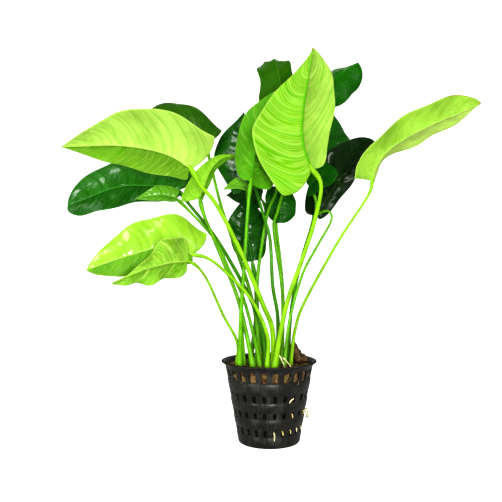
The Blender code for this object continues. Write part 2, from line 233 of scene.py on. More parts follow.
# %% Helper: nodes from one line each
def connect(tree, node, feeds):
    """Feeds a node's inputs. feeds maps an input to a socket to link or to a value to set."""
    for key, feed in feeds.items():
        if isinstance(feed, bpy.types.NodeSocket):
            tree.links.new(feed, node.inputs[key])
        else:
            node.inputs[key].default_value = feed


def add_node(tree, kind, feeds=None, **settings):
    """Adds a shader node, sets it and feeds it."""
    node = tree.nodes.new("ShaderNode" + kind)
    for name, value in settings.items():
        setattr(node, name, value)
    connect(tree, node, feeds or {})
    return node


def maths(tree, operation, first, second=0.0, third=0.0):
    """One Math node's result."""
    feeds = {0: first, 1: second, 2: third}
    return add_node(tree, "Math", feeds, operation=operation).outputs[0]


def blend(tree, factor, first, second):
    """A colour between two others."""
    feeds = {"Factor": factor, 6: first, 7: second}
    return add_node(tree, "Mix", feeds, data_type="RGBA").outputs[2]


def fade(tree, value, low, high):
    """0 at low, 1 at high, eased between."""
    feeds = {"Value": value, "From Min": low, "From Max": high}
    return add_node(tree, "MapRange", feeds, interpolation_type="SMOOTHSTEP").outputs[0]


def speckle(tree, vector, scale, detail):
    """A noise texture's value."""
    return add_node(tree, "TexNoise", {"Vector": vector, "Scale": scale, "Detail": detail}).outputs[0]


def use_group(tree, group, feeds):
    """The outputs of a node group that is used in a tree."""
    node = add_node(tree, "Group", node_tree=group)
    connect(tree, node, feeds)
    return node.outputs


def new_group(name, inputs, outputs):
    """An empty node group with its sockets. inputs maps a name to its kind and default."""
    group = bpy.data.node_groups.new(name, "ShaderNodeTree")
    for label, (kind, default) in inputs.items():
        socket = group.interface.new_socket(label, in_out="INPUT", socket_type="NodeSocket" + kind)
        if default is not None:
            socket.default_value = default
    for label in outputs:
        group.interface.new_socket(label, in_out="OUTPUT", socket_type="NodeSocketFloat")
    return group, group.nodes.new("NodeGroupInput").outputs, group.nodes.new("NodeGroupOutput").inputs


# %% The mottling group
CLOUD_DETAIL = 3.0
GRAIN_DETAIL = 2.0
GRAINS_TO_A_CLOUD = 14.0
CLOUD_RANGE = (0.32, 0.68)

mottling, given, result = new_group(
    "mottling", {"Place": ("Vector", None), "Size": ("Float", 1.0)}, ("Cloud", "Grain"))
per_metre = maths(mottling, "DIVIDE", 1.0 / MM, given["Size"])
clouds = speckle(mottling, given["Place"], per_metre, CLOUD_DETAIL)
finer = maths(mottling, "MULTIPLY", per_metre, GRAINS_TO_A_CLOUD)
grains = speckle(mottling, given["Place"], finer, GRAIN_DETAIL)
mottling.links.new(fade(mottling, clouds, *CLOUD_RANGE), result["Cloud"])
mottling.links.new(grains, result["Grain"])
print("group", mottling.name)

# %% [markdown]
# Inside the vein group, one counter runs up the leaf. It is a whole number on each side vein, and it is
# held back towards the margins, so that the veins lean forward. Slow noise makes their spacing and their
# strength uneven. The fine threads count five to a side vein, and strips of painted shade lie beside the
# veins, where the blade puckers.

# %% The vein group
VEIN_WANDER = 0.22
VEIN_WANDER_PACE = 9.0
VEIN_CURVE = 1.6
NOISE_ALONG = 18.0
NOISE_SIDE = 7.3
NOISE_ACROSS = 0.9
STRONG_RANGE = (0.3, 0.65)
SIDE_EDGE = 0.04
VEIN_HALF_WIDTH = 0.2
THREADS_TO_A_VEIN = 5.0
PUCKER_SHADE_SHIFT = 0.24
PUCKER_SHADE_HALF_WIDTH = 0.4
MIDRIB_RANGE = (0.012, 0.045)
MARGIN_RANGE = (0.93, 1.0)

vein_pattern, given, result = new_group(
    "vein_pattern",
    {"Chart": ("Vector", None), "Veins": ("Float", 16.0), "Lean Right": ("Float", 0.15),
     "Lean Left": ("Float", 0.15)},
    ("Vein", "Thread", "Band", "Midrib", "Margin", "Side", "Along"))
chart = add_node(vein_pattern, "SeparateXYZ", {0: given["Chart"]})
signed = maths(vein_pattern, "MULTIPLY_ADD", chart.outputs[0], 2.0, -1.0)
reach = maths(vein_pattern, "ABSOLUTE", signed)
side = fade(vein_pattern, signed, -SIDE_EDGE, SIDE_EDGE)
more = maths(vein_pattern, "SUBTRACT", given["Lean Right"], given["Lean Left"])
lean = maths(vein_pattern, "MULTIPLY_ADD", side, more, given["Lean Left"])
climb = maths(vein_pattern, "MULTIPLY", maths(vein_pattern, "POWER", reach, VEIN_CURVE), lean)
level = maths(vein_pattern, "SUBTRACT", chart.outputs[1], climb)
wander = maths(vein_pattern, "SINE", maths(vein_pattern, "MULTIPLY", level, VEIN_WANDER_PACE * math.pi))
count = maths(vein_pattern, "MULTIPLY", level, given["Veins"])
count = maths(vein_pattern, "MULTIPLY_ADD", wander, VEIN_WANDER, count)
shifts = add_node(vein_pattern, "CombineXYZ", {
    0: maths(vein_pattern, "MULTIPLY", level, NOISE_ALONG),
    1: maths(vein_pattern, "MULTIPLY", side, NOISE_SIDE),
    2: maths(vein_pattern, "MULTIPLY", reach, NOISE_ACROSS)})
unevenness = speckle(vein_pattern, shifts.outputs[0], 1.0, 1.0)
count = maths(vein_pattern, "MULTIPLY_ADD", unevenness, 1.0, count)
strong = fade(vein_pattern, unevenness, *STRONG_RANGE)


def lines_of(counter, half_width):
    """1 on each whole number of the counter, 0 away from it."""
    away = maths(vein_pattern, "PINGPONG", counter, 0.5)
    return maths(vein_pattern, "SUBTRACT", 1.0, fade(vein_pattern, away, 0.0, half_width))


veins = maths(vein_pattern, "MULTIPLY", lines_of(count, VEIN_HALF_WIDTH), strong)
threads = lines_of(maths(vein_pattern, "MULTIPLY", count, THREADS_TO_A_VEIN), 0.5)
midrib = maths(vein_pattern, "SUBTRACT", 1.0, fade(vein_pattern, reach, *MIDRIB_RANGE))
margin = fade(vein_pattern, reach, *MARGIN_RANGE)
# Painted shade: a strip just beside each side vein, where the pucker between two veins lies in shade.
pucker_shade = lines_of(maths(vein_pattern, "ADD", count, PUCKER_SHADE_SHIFT), PUCKER_SHADE_HALF_WIDTH)
for each_label, each_value in (("Vein", veins), ("Thread", threads), ("Midrib", midrib), ("Margin", margin),
                               ("Band", pucker_shade), ("Side", side), ("Along", chart.outputs[1])):
    vein_pattern.links.new(each_value, result[each_label])
print("group", vein_pattern.name)


# %% Helper: a new material with its shader
def new_finish(name, roughness, specular):
    """A material, its tree and its Principled shader. What is the same all over is set on the shader."""
    finish = bpy.data.materials.new(name)
    finish.use_nodes = True
    tree = finish.node_tree
    shader = tree.nodes["Principled BSDF"]
    shader.inputs["Roughness"].default_value = roughness
    shader.inputs["Specular IOR Level"].default_value = specular
    return finish, tree, shader


def bumps(tree, shader, height, depth):
    """Feeds a height, from 0 to 1, to the shader's normal. depth is in millimetres."""
    bump = add_node(tree, "Bump", {"Height": height, "Distance": depth * MM, "Strength": 1.0})
    tree.links.new(bump.outputs[0], shader.inputs["Normal"])


def tinted(colour, factor):
    """A shade of a colour, with its alpha."""
    return (*(channel * factor for channel in colour), 1.0)


def mottled(tree, places, size):
    """The mottling group's outputs, with clouds of a size in millimetres."""
    return use_group(tree, mottling, {"Place": places["Object"], "Size": size})


def two_tones(tree, mottle, colour, deep, light):
    """A colour that drifts between two shades of itself."""
    return blend(tree, mottle["Cloud"], tinted(colour, deep), tinted(colour, light))


print("finish helpers ready")

# %% [markdown]
# ## The leaf finishes
#
# A young blade is lime green and an old one is dark, glossy above and paler and duller below. Water stands
# on the upper face in patches, which is where the sharp highlights come from. Both faces have the same
# veins. So a blade has two materials, and one function makes both from a colour and a few strengths.

# %% Leaf finishes
@dataclass
class Tint:
    """How one sort of leaf looks.

    upper and under are the colours of its two faces, and pale is the colour of its veins and of the painted
    light on the paler half of a blade. The last three
    are for the upper face: its roughness, its shine, and how wet it is.
    """

    upper: tuple
    under: tuple
    pale: tuple
    roughness: float = 0.3
    specular: float = 0.3
    wet: float = 0.2


TINTS = {
    "lime": Tint(upper=(0.21, 0.42, 0.012), under=(0.135, 0.30, 0.003), pale=(0.40, 0.56, 0.13),
                 roughness=0.42, specular=0.12, wet=0.6),
    "fresh": Tint(upper=(0.10, 0.30, 0.008), under=(0.065, 0.235, 0.004), pale=(0.26, 0.46, 0.07)),
    "yellow": Tint(upper=(0.15, 0.32, 0.015), under=(0.20, 0.42, 0.02), pale=(0.42, 0.58, 0.12)),
    "olive": Tint(upper=(0.022, 0.085, 0.002), under=(0.024, 0.095, 0.001), pale=(0.07, 0.19, 0.01),
                  specular=0.12, wet=0.0),
    "deep": Tint(upper=(0.009, 0.095, 0.002), under=(0.02, 0.14, 0.002), pale=(0.03, 0.17, 0.01),
                 specular=0.1, wet=0.1),
    "dark": Tint(upper=(0.007, 0.065, 0.002), under=(0.02, 0.12, 0.003), pale=(0.045, 0.22, 0.018),
                 roughness=0.28, specular=0.12, wet=0.65),
    "blackish": Tint(upper=(0.006, 0.024, 0.003), under=(0.010, 0.05, 0.004), pale=(0.015, 0.05, 0.006),
                     specular=0.12, wet=0.7),
}
# Shares of a face's colour that make its deep colour, used for painted shade on a half and beside the side
# veins, and for a dark midrib.
DEEP_RIB_AND_SHADE_ABOVE = (0.33, 0.52, 0.10)
DEEP_RIB_AND_SHADE_BELOW = (0.48, 0.95, 0.10)
BROWN = (0.26, 0.085, 0.02, 1.0)
LEAF_CLOUD_SIZE = 16.0
DROP_SIZE = 5.0
LEAF_CLOUD_TONES = (0.86, 1.12)
LIGHT_AND_SHADE_PATCHES = (0.4, 0.7)
THREAD_SHARE = 0.8
MARGIN_SHARE = 0.35
BROWN_TIP = (0.975, 1.0)
BROWN_MARGIN = (0.55, 0.9)
ROUGHNESS_SPREAD = 0.12
WATER_ROUGHNESS = 0.1
UNDER_ROUGHNESS = 0.5
UNDER_SPECULAR = 0.06
GRAIN_RELIEF = 0.03
THREAD_RELIEF = 0.25
DROP_RELIEF = 7.0


def leaf_finish(name, colour, pale, deep_rib_and_shade, leaf, roughness, specular, wet):
    """One face of a blade. A half whose number in the leaf is above 0 gets painted light, a paler colour
    where a fold catches the light, and a half below 0 gets painted shade, a darker colour where it lies in
    its own shade.
    """
    finish, tree, shader = new_finish(name, roughness, specular)
    shader.inputs["Coat Roughness"].default_value = WATER_ROUGHNESS
    places = add_node(tree, "TexCoord").outputs
    pattern = use_group(tree, vein_pattern, {
        "Chart": places["UV"], "Veins": leaf.veins, "Lean Right": leaf.lean[0], "Lean Left": leaf.lean[1]})
    mottle = mottled(tree, places, LEAF_CLOUD_SIZE)
    drops = mottled(tree, places, DROP_SIZE)
    pale = tinted(pale, 1.0)
    # The deep colour: painted shade on a half and beside the side veins, and the colour of a dark midrib.
    deep = (*(channel * share for channel, share in zip(colour, deep_rib_and_shade)), 1.0)
    ground = two_tones(tree, mottle, colour, *LEAF_CLOUD_TONES)
    # Painted light and shade: a half with a number above 0 is blended towards the pale colour, as painted
    # light where a fold catches the light, and a half below 0 towards the deep colour, as painted shade
    # where it lies in its own shade, both in cloudy patches.
    right, left = leaf.half_light_and_shade
    light_and_shade_patches = maths(tree, "MULTIPLY_ADD", mottle["Cloud"], *LIGHT_AND_SHADE_PATCHES)
    for goal, sign in ((pale, 1.0), (deep, -1.0)):
        of_right, of_left = max(sign * right, 0.0), max(sign * left, 0.0)
        if of_right or of_left:
            share = maths(tree, "MULTIPLY_ADD", pattern["Side"], of_right - of_left, of_left)
            ground = blend(tree, maths(tree, "MULTIPLY", share, light_and_shade_patches), ground, goal)
    # Painted shade beside the side veins, blended towards the deep colour in cloudy patches.
    pucker_shaded = maths(tree, "MULTIPLY", maths(tree, "MULTIPLY", pattern["Band"], light_and_shade_patches), leaf.pucker_shade)
    ground = blend(tree, pucker_shaded, ground, deep)
    for label, strength in (("Thread", THREAD_SHARE * leaf.lines), ("Vein", leaf.lines),
                            ("Margin", MARGIN_SHARE)):
        ground = blend(tree, maths(tree, "MULTIPLY", pattern[label], strength), ground, pale)
    ribbed = maths(tree, "MULTIPLY", pattern["Midrib"], abs(leaf.rib_tone))
    ground = blend(tree, ribbed, ground, pale if leaf.rib_tone > 0 else deep)
    tip = fade(tree, pattern["Along"], *BROWN_TIP)
    edge = maths(tree, "MULTIPLY", pattern["Margin"], fade(tree, pattern["Along"], *BROWN_MARGIN))
    browned = maths(tree, "MULTIPLY", maths(tree, "MAXIMUM", tip, edge), leaf.browned)
    ground = blend(tree, browned, ground, BROWN)
    tree.links.new(ground, shader.inputs["Base Color"])
    smoothest = roughness - ROUGHNESS_SPREAD / 2
    uneven = maths(tree, "MULTIPLY_ADD", mottle["Cloud"], ROUGHNESS_SPREAD, smoothest)
    tree.links.new(uneven, shader.inputs["Roughness"])
    wet_right, wet_left = (wet * (1 - share) for share in leaf.dry)
    film = maths(tree, "MULTIPLY_ADD", pattern["Side"], wet_right - wet_left, wet_left)
    tree.links.new(maths(tree, "MULTIPLY", drops["Cloud"], film), shader.inputs["Coat Weight"])
    height = maths(tree, "MULTIPLY_ADD", pattern["Thread"], THREAD_RELIEF, mottle["Grain"])
    height = maths(tree, "MULTIPLY_ADD", drops["Cloud"], DROP_RELIEF, height)
    bumps(tree, shader, height, GRAIN_RELIEF)
    return finish


def leaf_faces(leaf):
    """The upper and the lower finish of one blade."""
    tint = TINTS[leaf.tint]
    upper = leaf_finish("upper_" + leaf.name, tint.upper, tint.pale, DEEP_RIB_AND_SHADE_ABOVE, leaf, tint.roughness,
                        tint.specular, tint.wet)
    under = leaf_finish("under_" + leaf.name, tint.under, tint.pale, DEEP_RIB_AND_SHADE_BELOW, leaf, UNDER_ROUGHNESS,
                        UNDER_SPECULAR, 0.0)
    return upper, under


print(len(TINTS), "leaf tints")

# %% [markdown]
# ## The leaves as a table
#
# Each leaf is a foot on the crown, a few points that its stalk passes, a few points along its midrib, and
# the reach of its two halves. These are the lengths the CAD model was built from, so the finished blade
# lies where its solid does. The tint, the veins, the painted light and shade of its halves and the
# waviness are added here.

# %% The table of leaves
@dataclass
class Half:
    """Half a blade, from the rib to one margin, in millimetres.

    reach runs from the rib to the margin where the half is widest, and turns towards at_tip, if given,
    on the way to the tip. shoulder is the width at the joint as a share of the widest, lobe is how far
    the base hangs back behind the joint, and sweep is how far the margin leans towards the tip.
    """

    reach: tuple
    at_tip: tuple = None
    shoulder: float = 0.5
    lobe: float = 7.0
    widest: float = 0.34
    taper: float = 1.1
    sweep: float = 0.15


@dataclass
class Leaf:
    """One leaf. Heights are above the top of the fibre plug.

    right and left are the halves when the upper face is looked at with the tip pointing away, and each pair
    of numbers is for those two: lean, the forward lean of the side veins, half_light_and_shade, painted
    light on a half above 0 and painted shade below 0, and dry, the share of the water that has gone.
    pucker_shade, the painted shade beside the side veins, lines, rib_tone and browned are strengths.
    """

    name: str
    tint: str
    slot: str
    foot: tuple
    stalk: tuple
    rib: tuple
    right: Half
    left: Half
    veins: float = 9.0
    lean: tuple = (0.14, 0.14)
    wave: float = 0.5
    size: float = 1.0
    half_light_and_shade: tuple = (0.0, 0.0)
    pucker_shade: float = 0.3
    lines: float = 0.25
    rib_tone: float = 0.5
    browned: float = 0.0
    crumple: float = 1.0
    dry: tuple = (0.0, 0.0)


# In each leaf, the pair for its halves paints light, above 0, and shade, below 0, on each half, and one
# strength paints shade beside the side veins.
LEAVES = (
    Leaf("front", "lime", "leaf_light", foot=(3, -17), size=1.1, veins=11,
         lean=(0.16, 0.36),
         half_light_and_shade=(-0.25, 0.5), pucker_shade=0.5, lines=0.35, rib_tone=-0.9, browned=0.6,
         stalk=((9, -20, 36.5), (18, -24, 64), (24, -29, 83.5), (27.5, -35, 104)),
         rib=((22.5, -34, 113), (18, -33, 127), (18, -30, 145.5), (24, -24, 183)),
         right=Half((-27, 4, -1), shoulder=0.7, lobe=13.8, widest=0.3, taper=1.45, sweep=0.05),
         left=Half((18.5, 12, 0), shoulder=0.08, lobe=-1, widest=0.45, taper=0.8, sweep=0.35)),
    Leaf("upper_left", "lime", "leaf_light", foot=(2.5, -9.5), size=1.15, veins=13,
         half_light_and_shade=(-0.3, 0.6), pucker_shade=0.35, lines=0.4,
         stalk=((1.5, -12, 23.5), (-4, -15, 38), (-16.5, -20, 68), (-29.5, -25, 93.5), (-39, -28, 105.5)),
         rib=((-43.5, -29, 114.5), (-58, -32, 122.5), (-81.5, -38, 126), (-112, -42, 124.5)),
         right=Half((0, 12, -12), shoulder=0.4, lobe=-3, widest=0.3, taper=1.0),
         left=Half((3, -12, 23.5), (-3, -8, 13.5), shoulder=0.92, lobe=12, widest=0.3, taper=0.9,
                   sweep=0.1)),
    Leaf("left_dark", "dark", "leaf_dark", foot=(-2, -4), veins=9, wave=0.9,
         half_light_and_shade=(0.3, 0.0), dry=(0.0, 0.9),
         stalk=((-4, -4, 21.5), (-12, -3, 42), (-31, 3, 75), (-48, 6, 96.5)),
         rib=((-54.5, 5, 106), (-71.5, 1, 108), (-91.5, -5, 106), (-117, -14, 94.5)),
         right=Half((0, 8, 17), shoulder=0.6, lobe=14, widest=0.66, taper=0.45),
         left=Half((0, -7, -12), shoulder=0.2, lobe=1, widest=0.62, taper=0.5, sweep=0.05)),
    Leaf("left_edge", "fresh", "leaf_fresh", foot=(-6, -7), size=0.8, half_light_and_shade=(-0.4, -0.9),
         stalk=((-10, -4, 21.5), (-16, -0.5, 42), (-24, -3, 58), (-32, -3.5, 75), (-46, -5, 91)),
         rib=((-54.5, -11, 100), (-64, -14.5, 101), (-77, -18, 98.5)),
         right=Half((0, 2, 6), shoulder=0.7, lobe=2), left=Half((0, -2, -3.5), lobe=1)),
    Leaf("yellow", "yellow", "leaf_light", foot=(-10, -12), veins=8, half_light_and_shade=(-0.1, -0.6),
         stalk=((-15, -9.5, 27), (-20, -9, 45), (-32.5, -9, 75.5), (-38.5, -8, 90)),
         rib=((-41.5, -8, 99.5), (-38.5, -7, 108), (-34.5, -5, 117.5), (-28, 0, 124.5), (-18.5, 6, 127)),
         right=Half((-11, -3, 0), (-1, -2, 3), shoulder=0.8, lobe=2, widest=0.12, taper=0.6),
         left=Half((2.5, 6, -1), (1, 4, -3), shoulder=0.6, lobe=1, widest=0.4, taper=0.7)),
    Leaf("middle", "fresh", "leaf_fresh", foot=(-17.5, -12), size=0.95, veins=10, rib_tone=-0.5,
         stalk=((-16.5, -14, 34.5), (-15, -16, 56.5), (-12.5, -19, 93)),
         rib=((-11, -20, 107), (-9, -19, 120.5), (-4.5, -15, 139.5), (4, -10, 153.5), (14.5, -4, 165.5)),
         right=Half((-12, 9, -1), (-14, 8, 8), shoulder=0.35, lobe=-3, widest=0.42, taper=0.7),
         left=Half((17, 8, 0), shoulder=0.6, lobe=3, widest=0.4, taper=0.9)),
    Leaf("top_back_left", "olive", "leaf_deep", foot=(-5, 4.5), size=0.85, wave=2.2, pucker_shade=0.15, lines=0.1,
         stalk=((-7.5, 3, 40.5), (-5.5, 3, 64), (-0.5, 4, 92.5), (5, 8, 106), (8.5, 15, 131.5)),
         rib=((9, 20, 151.5), (8.5, 25, 171.5), (6, 34, 189.5), (4.5, 44, 196.5), (2.5, 58, 192.5)),
         right=Half((-14, 2, -2)), left=Half((12, 4, 0))),
    Leaf("top_back_right", "deep", "leaf_deep", foot=(8, 2.5), size=0.85, wave=1.5,
         stalk=((8.5, 3, 33), (7.5, 3, 51), (3, 1, 81.5), (5, 2, 92), (10.5, 6, 109.5), (19.5, 15, 131.5)),
         rib=((26, 22, 152), (34, 26, 170.5), (48, 32, 184.5), (60, 38, 193)),
         right=Half((2, 3, -12), (8, 3, -17), shoulder=0.1, lobe=0, widest=0.65, taper=0.5),
         left=Half((-8, 12, 4), shoulder=0.4, lobe=3)),
    Leaf("left_back", "olive", "leaf_deep", foot=(-7.5, -1), size=0.9, wave=0.9,
         stalk=((-7, 0, 21.5), (-12.5, 3, 48), (-28, 9, 92.5), (-35.5, 12, 121.5)),
         rib=((-38.5, 12, 135), (-52.5, 18, 148), (-72.5, 26, 152), (-98, 36, 146)),
         right=Half((4, 9, 16), (-4, 9, 11), shoulder=0.95, lobe=8, widest=0.3),
         left=Half((0, -3, -14), lobe=-1.5)),
    Leaf("back_left_dark", "dark", "leaf_dark", foot=(5, -4.5), size=0.9,
         stalk=((5, -5, 29.5), (2, -6, 48.5), (0.5, -6, 75), (-3, -4, 88.5), (-7, 2, 102.5)),
         rib=((-9.5, 8, 111.5), (-17, 14, 125.5), (-19.5, 20, 140), (-15.5, 28, 158)),
         right=Half((14, 6, 0), lobe=6),
         left=Half((-17.5, 3, -2), (-12, 6, 0), shoulder=0.85, lobe=8, widest=0.35)),
    Leaf("young", "fresh", "leaf_light", foot=(-15, -2.5), size=0.7, veins=5, wave=0.3,
         stalk=((-16.5, -5, 34), (-15, -6, 56.5), (-12.5, -5, 93.5)),
         rib=((-13, -4, 106), (-19, -5, 108), (-27, -8, 105)),
         right=Half((0, 3, 4.5), lobe=1), left=Half((0, -3, -2.5), lobe=1)),
    Leaf("right_back_dark", "dark", "leaf_dark", foot=(12, 6), size=0.85, wave=0.9,
         stalk=((14, 8, 33.5), (20.5, 11, 64), (28, 12, 91)),
         rib=((28.5, 15, 120), (34.5, 20, 136.5), (42.5, 28, 156.5)),
         right=Half((19, 6, -5), lobe=3), left=Half((-14, 6, 3), lobe=5)),
    Leaf("right_dark", "blackish", "leaf_dark", foot=(9, -8), size=0.7, wave=0.9,
         stalk=((12, -7, 28), (19.5, -6, 54.5), (28, -3, 70.5), (36.5, -3, 85.5),
                (36.5, -4, 91.5), (33, -2, 92.5)),
         rib=((29, 4, 90.5), (36.5, 7, 102.5), (50, 12, 119.5), (67.5, 21, 138)),
         right=Half((6, 3, -4.5), shoulder=0.3, lobe=1), left=Half((-12, 3, 10), shoulder=0.35, lobe=3,
                                                                 widest=0.6, taper=0.55)),
    Leaf("small_dark", "deep", "leaf_deep", foot=(3.5, 1), size=0.8, veins=9,
         stalk=((7, -2, 22), (13.5, -3, 47.5), (21, -3, 68), (28, -4, 94.5)),
         rib=((24, -2, 107.5), (31, -4, 113), (40.5, -8, 114)),
         right=Half((0, -4, -8), lobe=2, taper=0.7), left=Half((0, 4, 9), lobe=2, taper=0.7)),
    Leaf("right_leaf", "lime", "leaf_light", foot=(13, -3), size=0.75, veins=9, wave=1.3,
         half_light_and_shade=(0.3, 1.0), pucker_shade=0.1, lines=0.2, browned=0.9,
         stalk=((15.5, -4, 22.5), (21, -7, 39), (40, -13, 74.5), (56, -18, 100)),
         rib=((58, -18, 109), (60, -20, 116), (66.5, -23, 125.5), (84, -26, 136.5), (116.5, -30, 150.5)),
         right=Half((-11, -4, 1), (-1, -6, 17), shoulder=0.95, lobe=0, widest=0.5, taper=0.8),
         left=Half((3, 13, -1), (3, 8, -9), shoulder=0.5, lobe=2, widest=0.5)),
    Leaf("low_left", "lime", "leaf_light", foot=(-1.5, -17), size=0.85, veins=10, wave=0.8,
         half_light_and_shade=(0.1, -1.0), pucker_shade=0.15, lines=0.12, dry=(0.0, 1.0),
         stalk=((-1.5, -18, 20.5), (-11, -20, 41.5), (-27, -23, 58.5), (-36, -25, 65)),
         rib=((-43.5, -26, 66.5), (-55.5, -32, 71.5), (-76.5, -38, 66.5), (-98.5, -43, 58.5)),
         right=Half((2, 7, 17), (-3, 7, 20), shoulder=0.85, lobe=7, widest=0.3, taper=0.8),
         left=Half((0, -1, -11), shoulder=0.3, lobe=0, widest=0.5, taper=0.8)),
    Leaf("low_left_front", "lime", "leaf_fresh", foot=(-19, -7), size=0.7, veins=8, wave=2.3,
         half_light_and_shade=(-0.4, 0.1), pucker_shade=0.4, lines=0.5, crumple=2.2,
         stalk=((-19, -9, 15.5), (-27, -15, 32), (-34.5, -30, 51.5), (-39.5, -39, 60)),
         rib=((-44, -44, 63.5), (-54, -51, 62.5), (-68, -56, 58.5), (-81.5, -60, 52)),
         right=Half((0, 4, -9), shoulder=0.3, lobe=-1, widest=0.3, taper=0.9),
         left=Half((0, -3, 13), shoulder=0.75, lobe=1, widest=0.16, taper=3.2)),
    Leaf("low_centre", "dark", "leaf_dark", foot=(-11, 6),
         stalk=((-8, 6.5, 26.5), (-8, 8, 48)),
         rib=((-10, 10, 62), (-12.5, 13, 78.5), (-14, 20, 103)),
         right=Half((12, 2, 0), shoulder=0.3, lobe=-1, widest=0.5),
         left=Half((-12, 2, 0), shoulder=0.4, lobe=0, widest=0.5)),
    Leaf("hanging", "deep", "leaf_deep", foot=(7, 8), size=0.8, veins=9,
         stalk=((9, 10, 32.5), (8, 12, 57), (5, 14, 85), (5, 15, 103)),
         rib=((6, 11, 108), (7, 9, 98), (7.5, 10, 86)),
         right=Half((-9, 4, 0), lobe=1, widest=0.5, taper=0.5),
         left=Half((10, 2, 0), lobe=1, widest=0.5, taper=0.5)),
    Leaf("centre_back", "dark", "leaf_dark", foot=(-3, 14), size=0.8,
         stalk=((-7, 14, 39.5), (-4.5, 18, 69.5), (-1.5, 22, 93)),
         rib=((-4, 25, 102), (-13.5, 32, 106.5), (-27, 40, 105.5)),
         right=Half((2, 6, 9), lobe=0), left=Half((0, -4, -9), lobe=-1)),
)
PLUG_TOP = 45.0


def raised(points):
    """Points given above the plug, as points above the floor."""
    return [Vector(point) + Vector((0.0, 0.0, PLUG_TOP)) for point in points]


print(len(LEAVES), "leaves in the table")

# %% [markdown]
# ## A blade
#
# A real blade is half a millimetre of waxy skin stretched over a fan of veins. It is thickest on the
# midrib, which stands out below like a cord and is a groove above, and it swells between the side veins.
# The rule below works out the middle of the sheet first, then steps off to each face. Rows are closer at
# the joint and the tip, where the outline turns fastest, and columns are closer at the midrib.

# %% The outline of a blade
ROWS = 150
COLUMNS = 14
TIP_WIDTH = 0.5
BULGE = 0.08
LOBE_FADE = 1.2
SIDE_CROWDING = 1.6
END_CROWDING = 0.6
LAST_REACHES = (0.965, 0.99, 1.0)


def row_share(row):
    """How far along the rib a row lies."""
    crowded = 0.5 - 0.5 * math.cos(math.pi * row / ROWS)
    return END_CROWDING * crowded + (1 - END_CROWDING) * row / ROWS


SHARES = [row_share(row) for row in range(ROWS + 1)]
REACHES = [(column / (COLUMNS - 1)) ** SIDE_CROWDING * LAST_REACHES[0] for column in range(COLUMNS)]
REACHES += LAST_REACHES[1:]
ACROSS = [-reach for reach in reversed(REACHES[1:])] + REACHES


def half_width(half, along):
    """The width at a share of the way along the rib, as a share of the widest."""
    if along < half.widest:
        back = 1 - along / half.widest
        return half.shoulder + (1 - half.shoulder) * math.sqrt(max(1 - back ** 2, 0.0))
    ahead = (along - half.widest) / (1 - half.widest)
    return max(math.cos(0.5 * math.pi * ahead), 0.0) ** half.taper


def half_rows(leaf, half, rib, turned):
    """For each row: its place on the rib, the way ahead, the half's direction and width, and the way up."""
    rows = []
    for index, along in enumerate(SHARES):
        before, after = rib[max(index - 1, 0)], rib[min(index + 1, ROWS)]
        ahead = (after - before).normalized()
        side = Vector(half.reach).lerp(Vector(half.at_tip or half.reach), along)
        up = (side.cross(ahead) * turned).normalized()
        width = max(half_width(half, along), TIP_WIDTH / side.length)
        rows.append((rib[index], ahead, side, width, up))
    return rows


print(len(SHARES), "rows and", len(ACROSS), "columns to a blade")

# %% The relief of a blade
HALF_THICKNESS = 0.25
PUCKER = 0.25
CRUMPLE = 0.45
CRUMPLE_SIZE = 9.0
RIB_WIDTH = 1.0
RIB_DEPTH = 0.75
GROOVE = 0.25
RIDGE_FADE = 4.0
RIB_THINNING = 0.75
RIPPLES = 2.7
SCALLOP = 0.05
OTHER_HALF = 2.0
WAVE_WIDTH = 12.0
CREASE_REACH = 0.12
SMOOTH_RIM = 0.1
PUCKER_WIDTH = 8.0
ROUND_MARGIN = 0.02
ROUND_ROWS = 3


def vein_height(leaf, along, across):
    """1 on a side vein, 0 midway between two, by the rule of the vein pattern's group without its noise."""
    level = along - leaf.lean[0 if across > 0 else 1] * abs(across) ** VEIN_CURVE
    count = leaf.veins * level + VEIN_WANDER * math.sin(VEIN_WANDER_PACE * math.pi * level)
    away = abs(count - round(count))
    return (1 - 2 * away) ** 2


def end_share(index):
    """0 at the first and last row and 1 inside, so that both ends close up round."""
    inside = min(index, ROWS - index)
    return min(1.0, math.sqrt(inside / ROUND_ROWS))


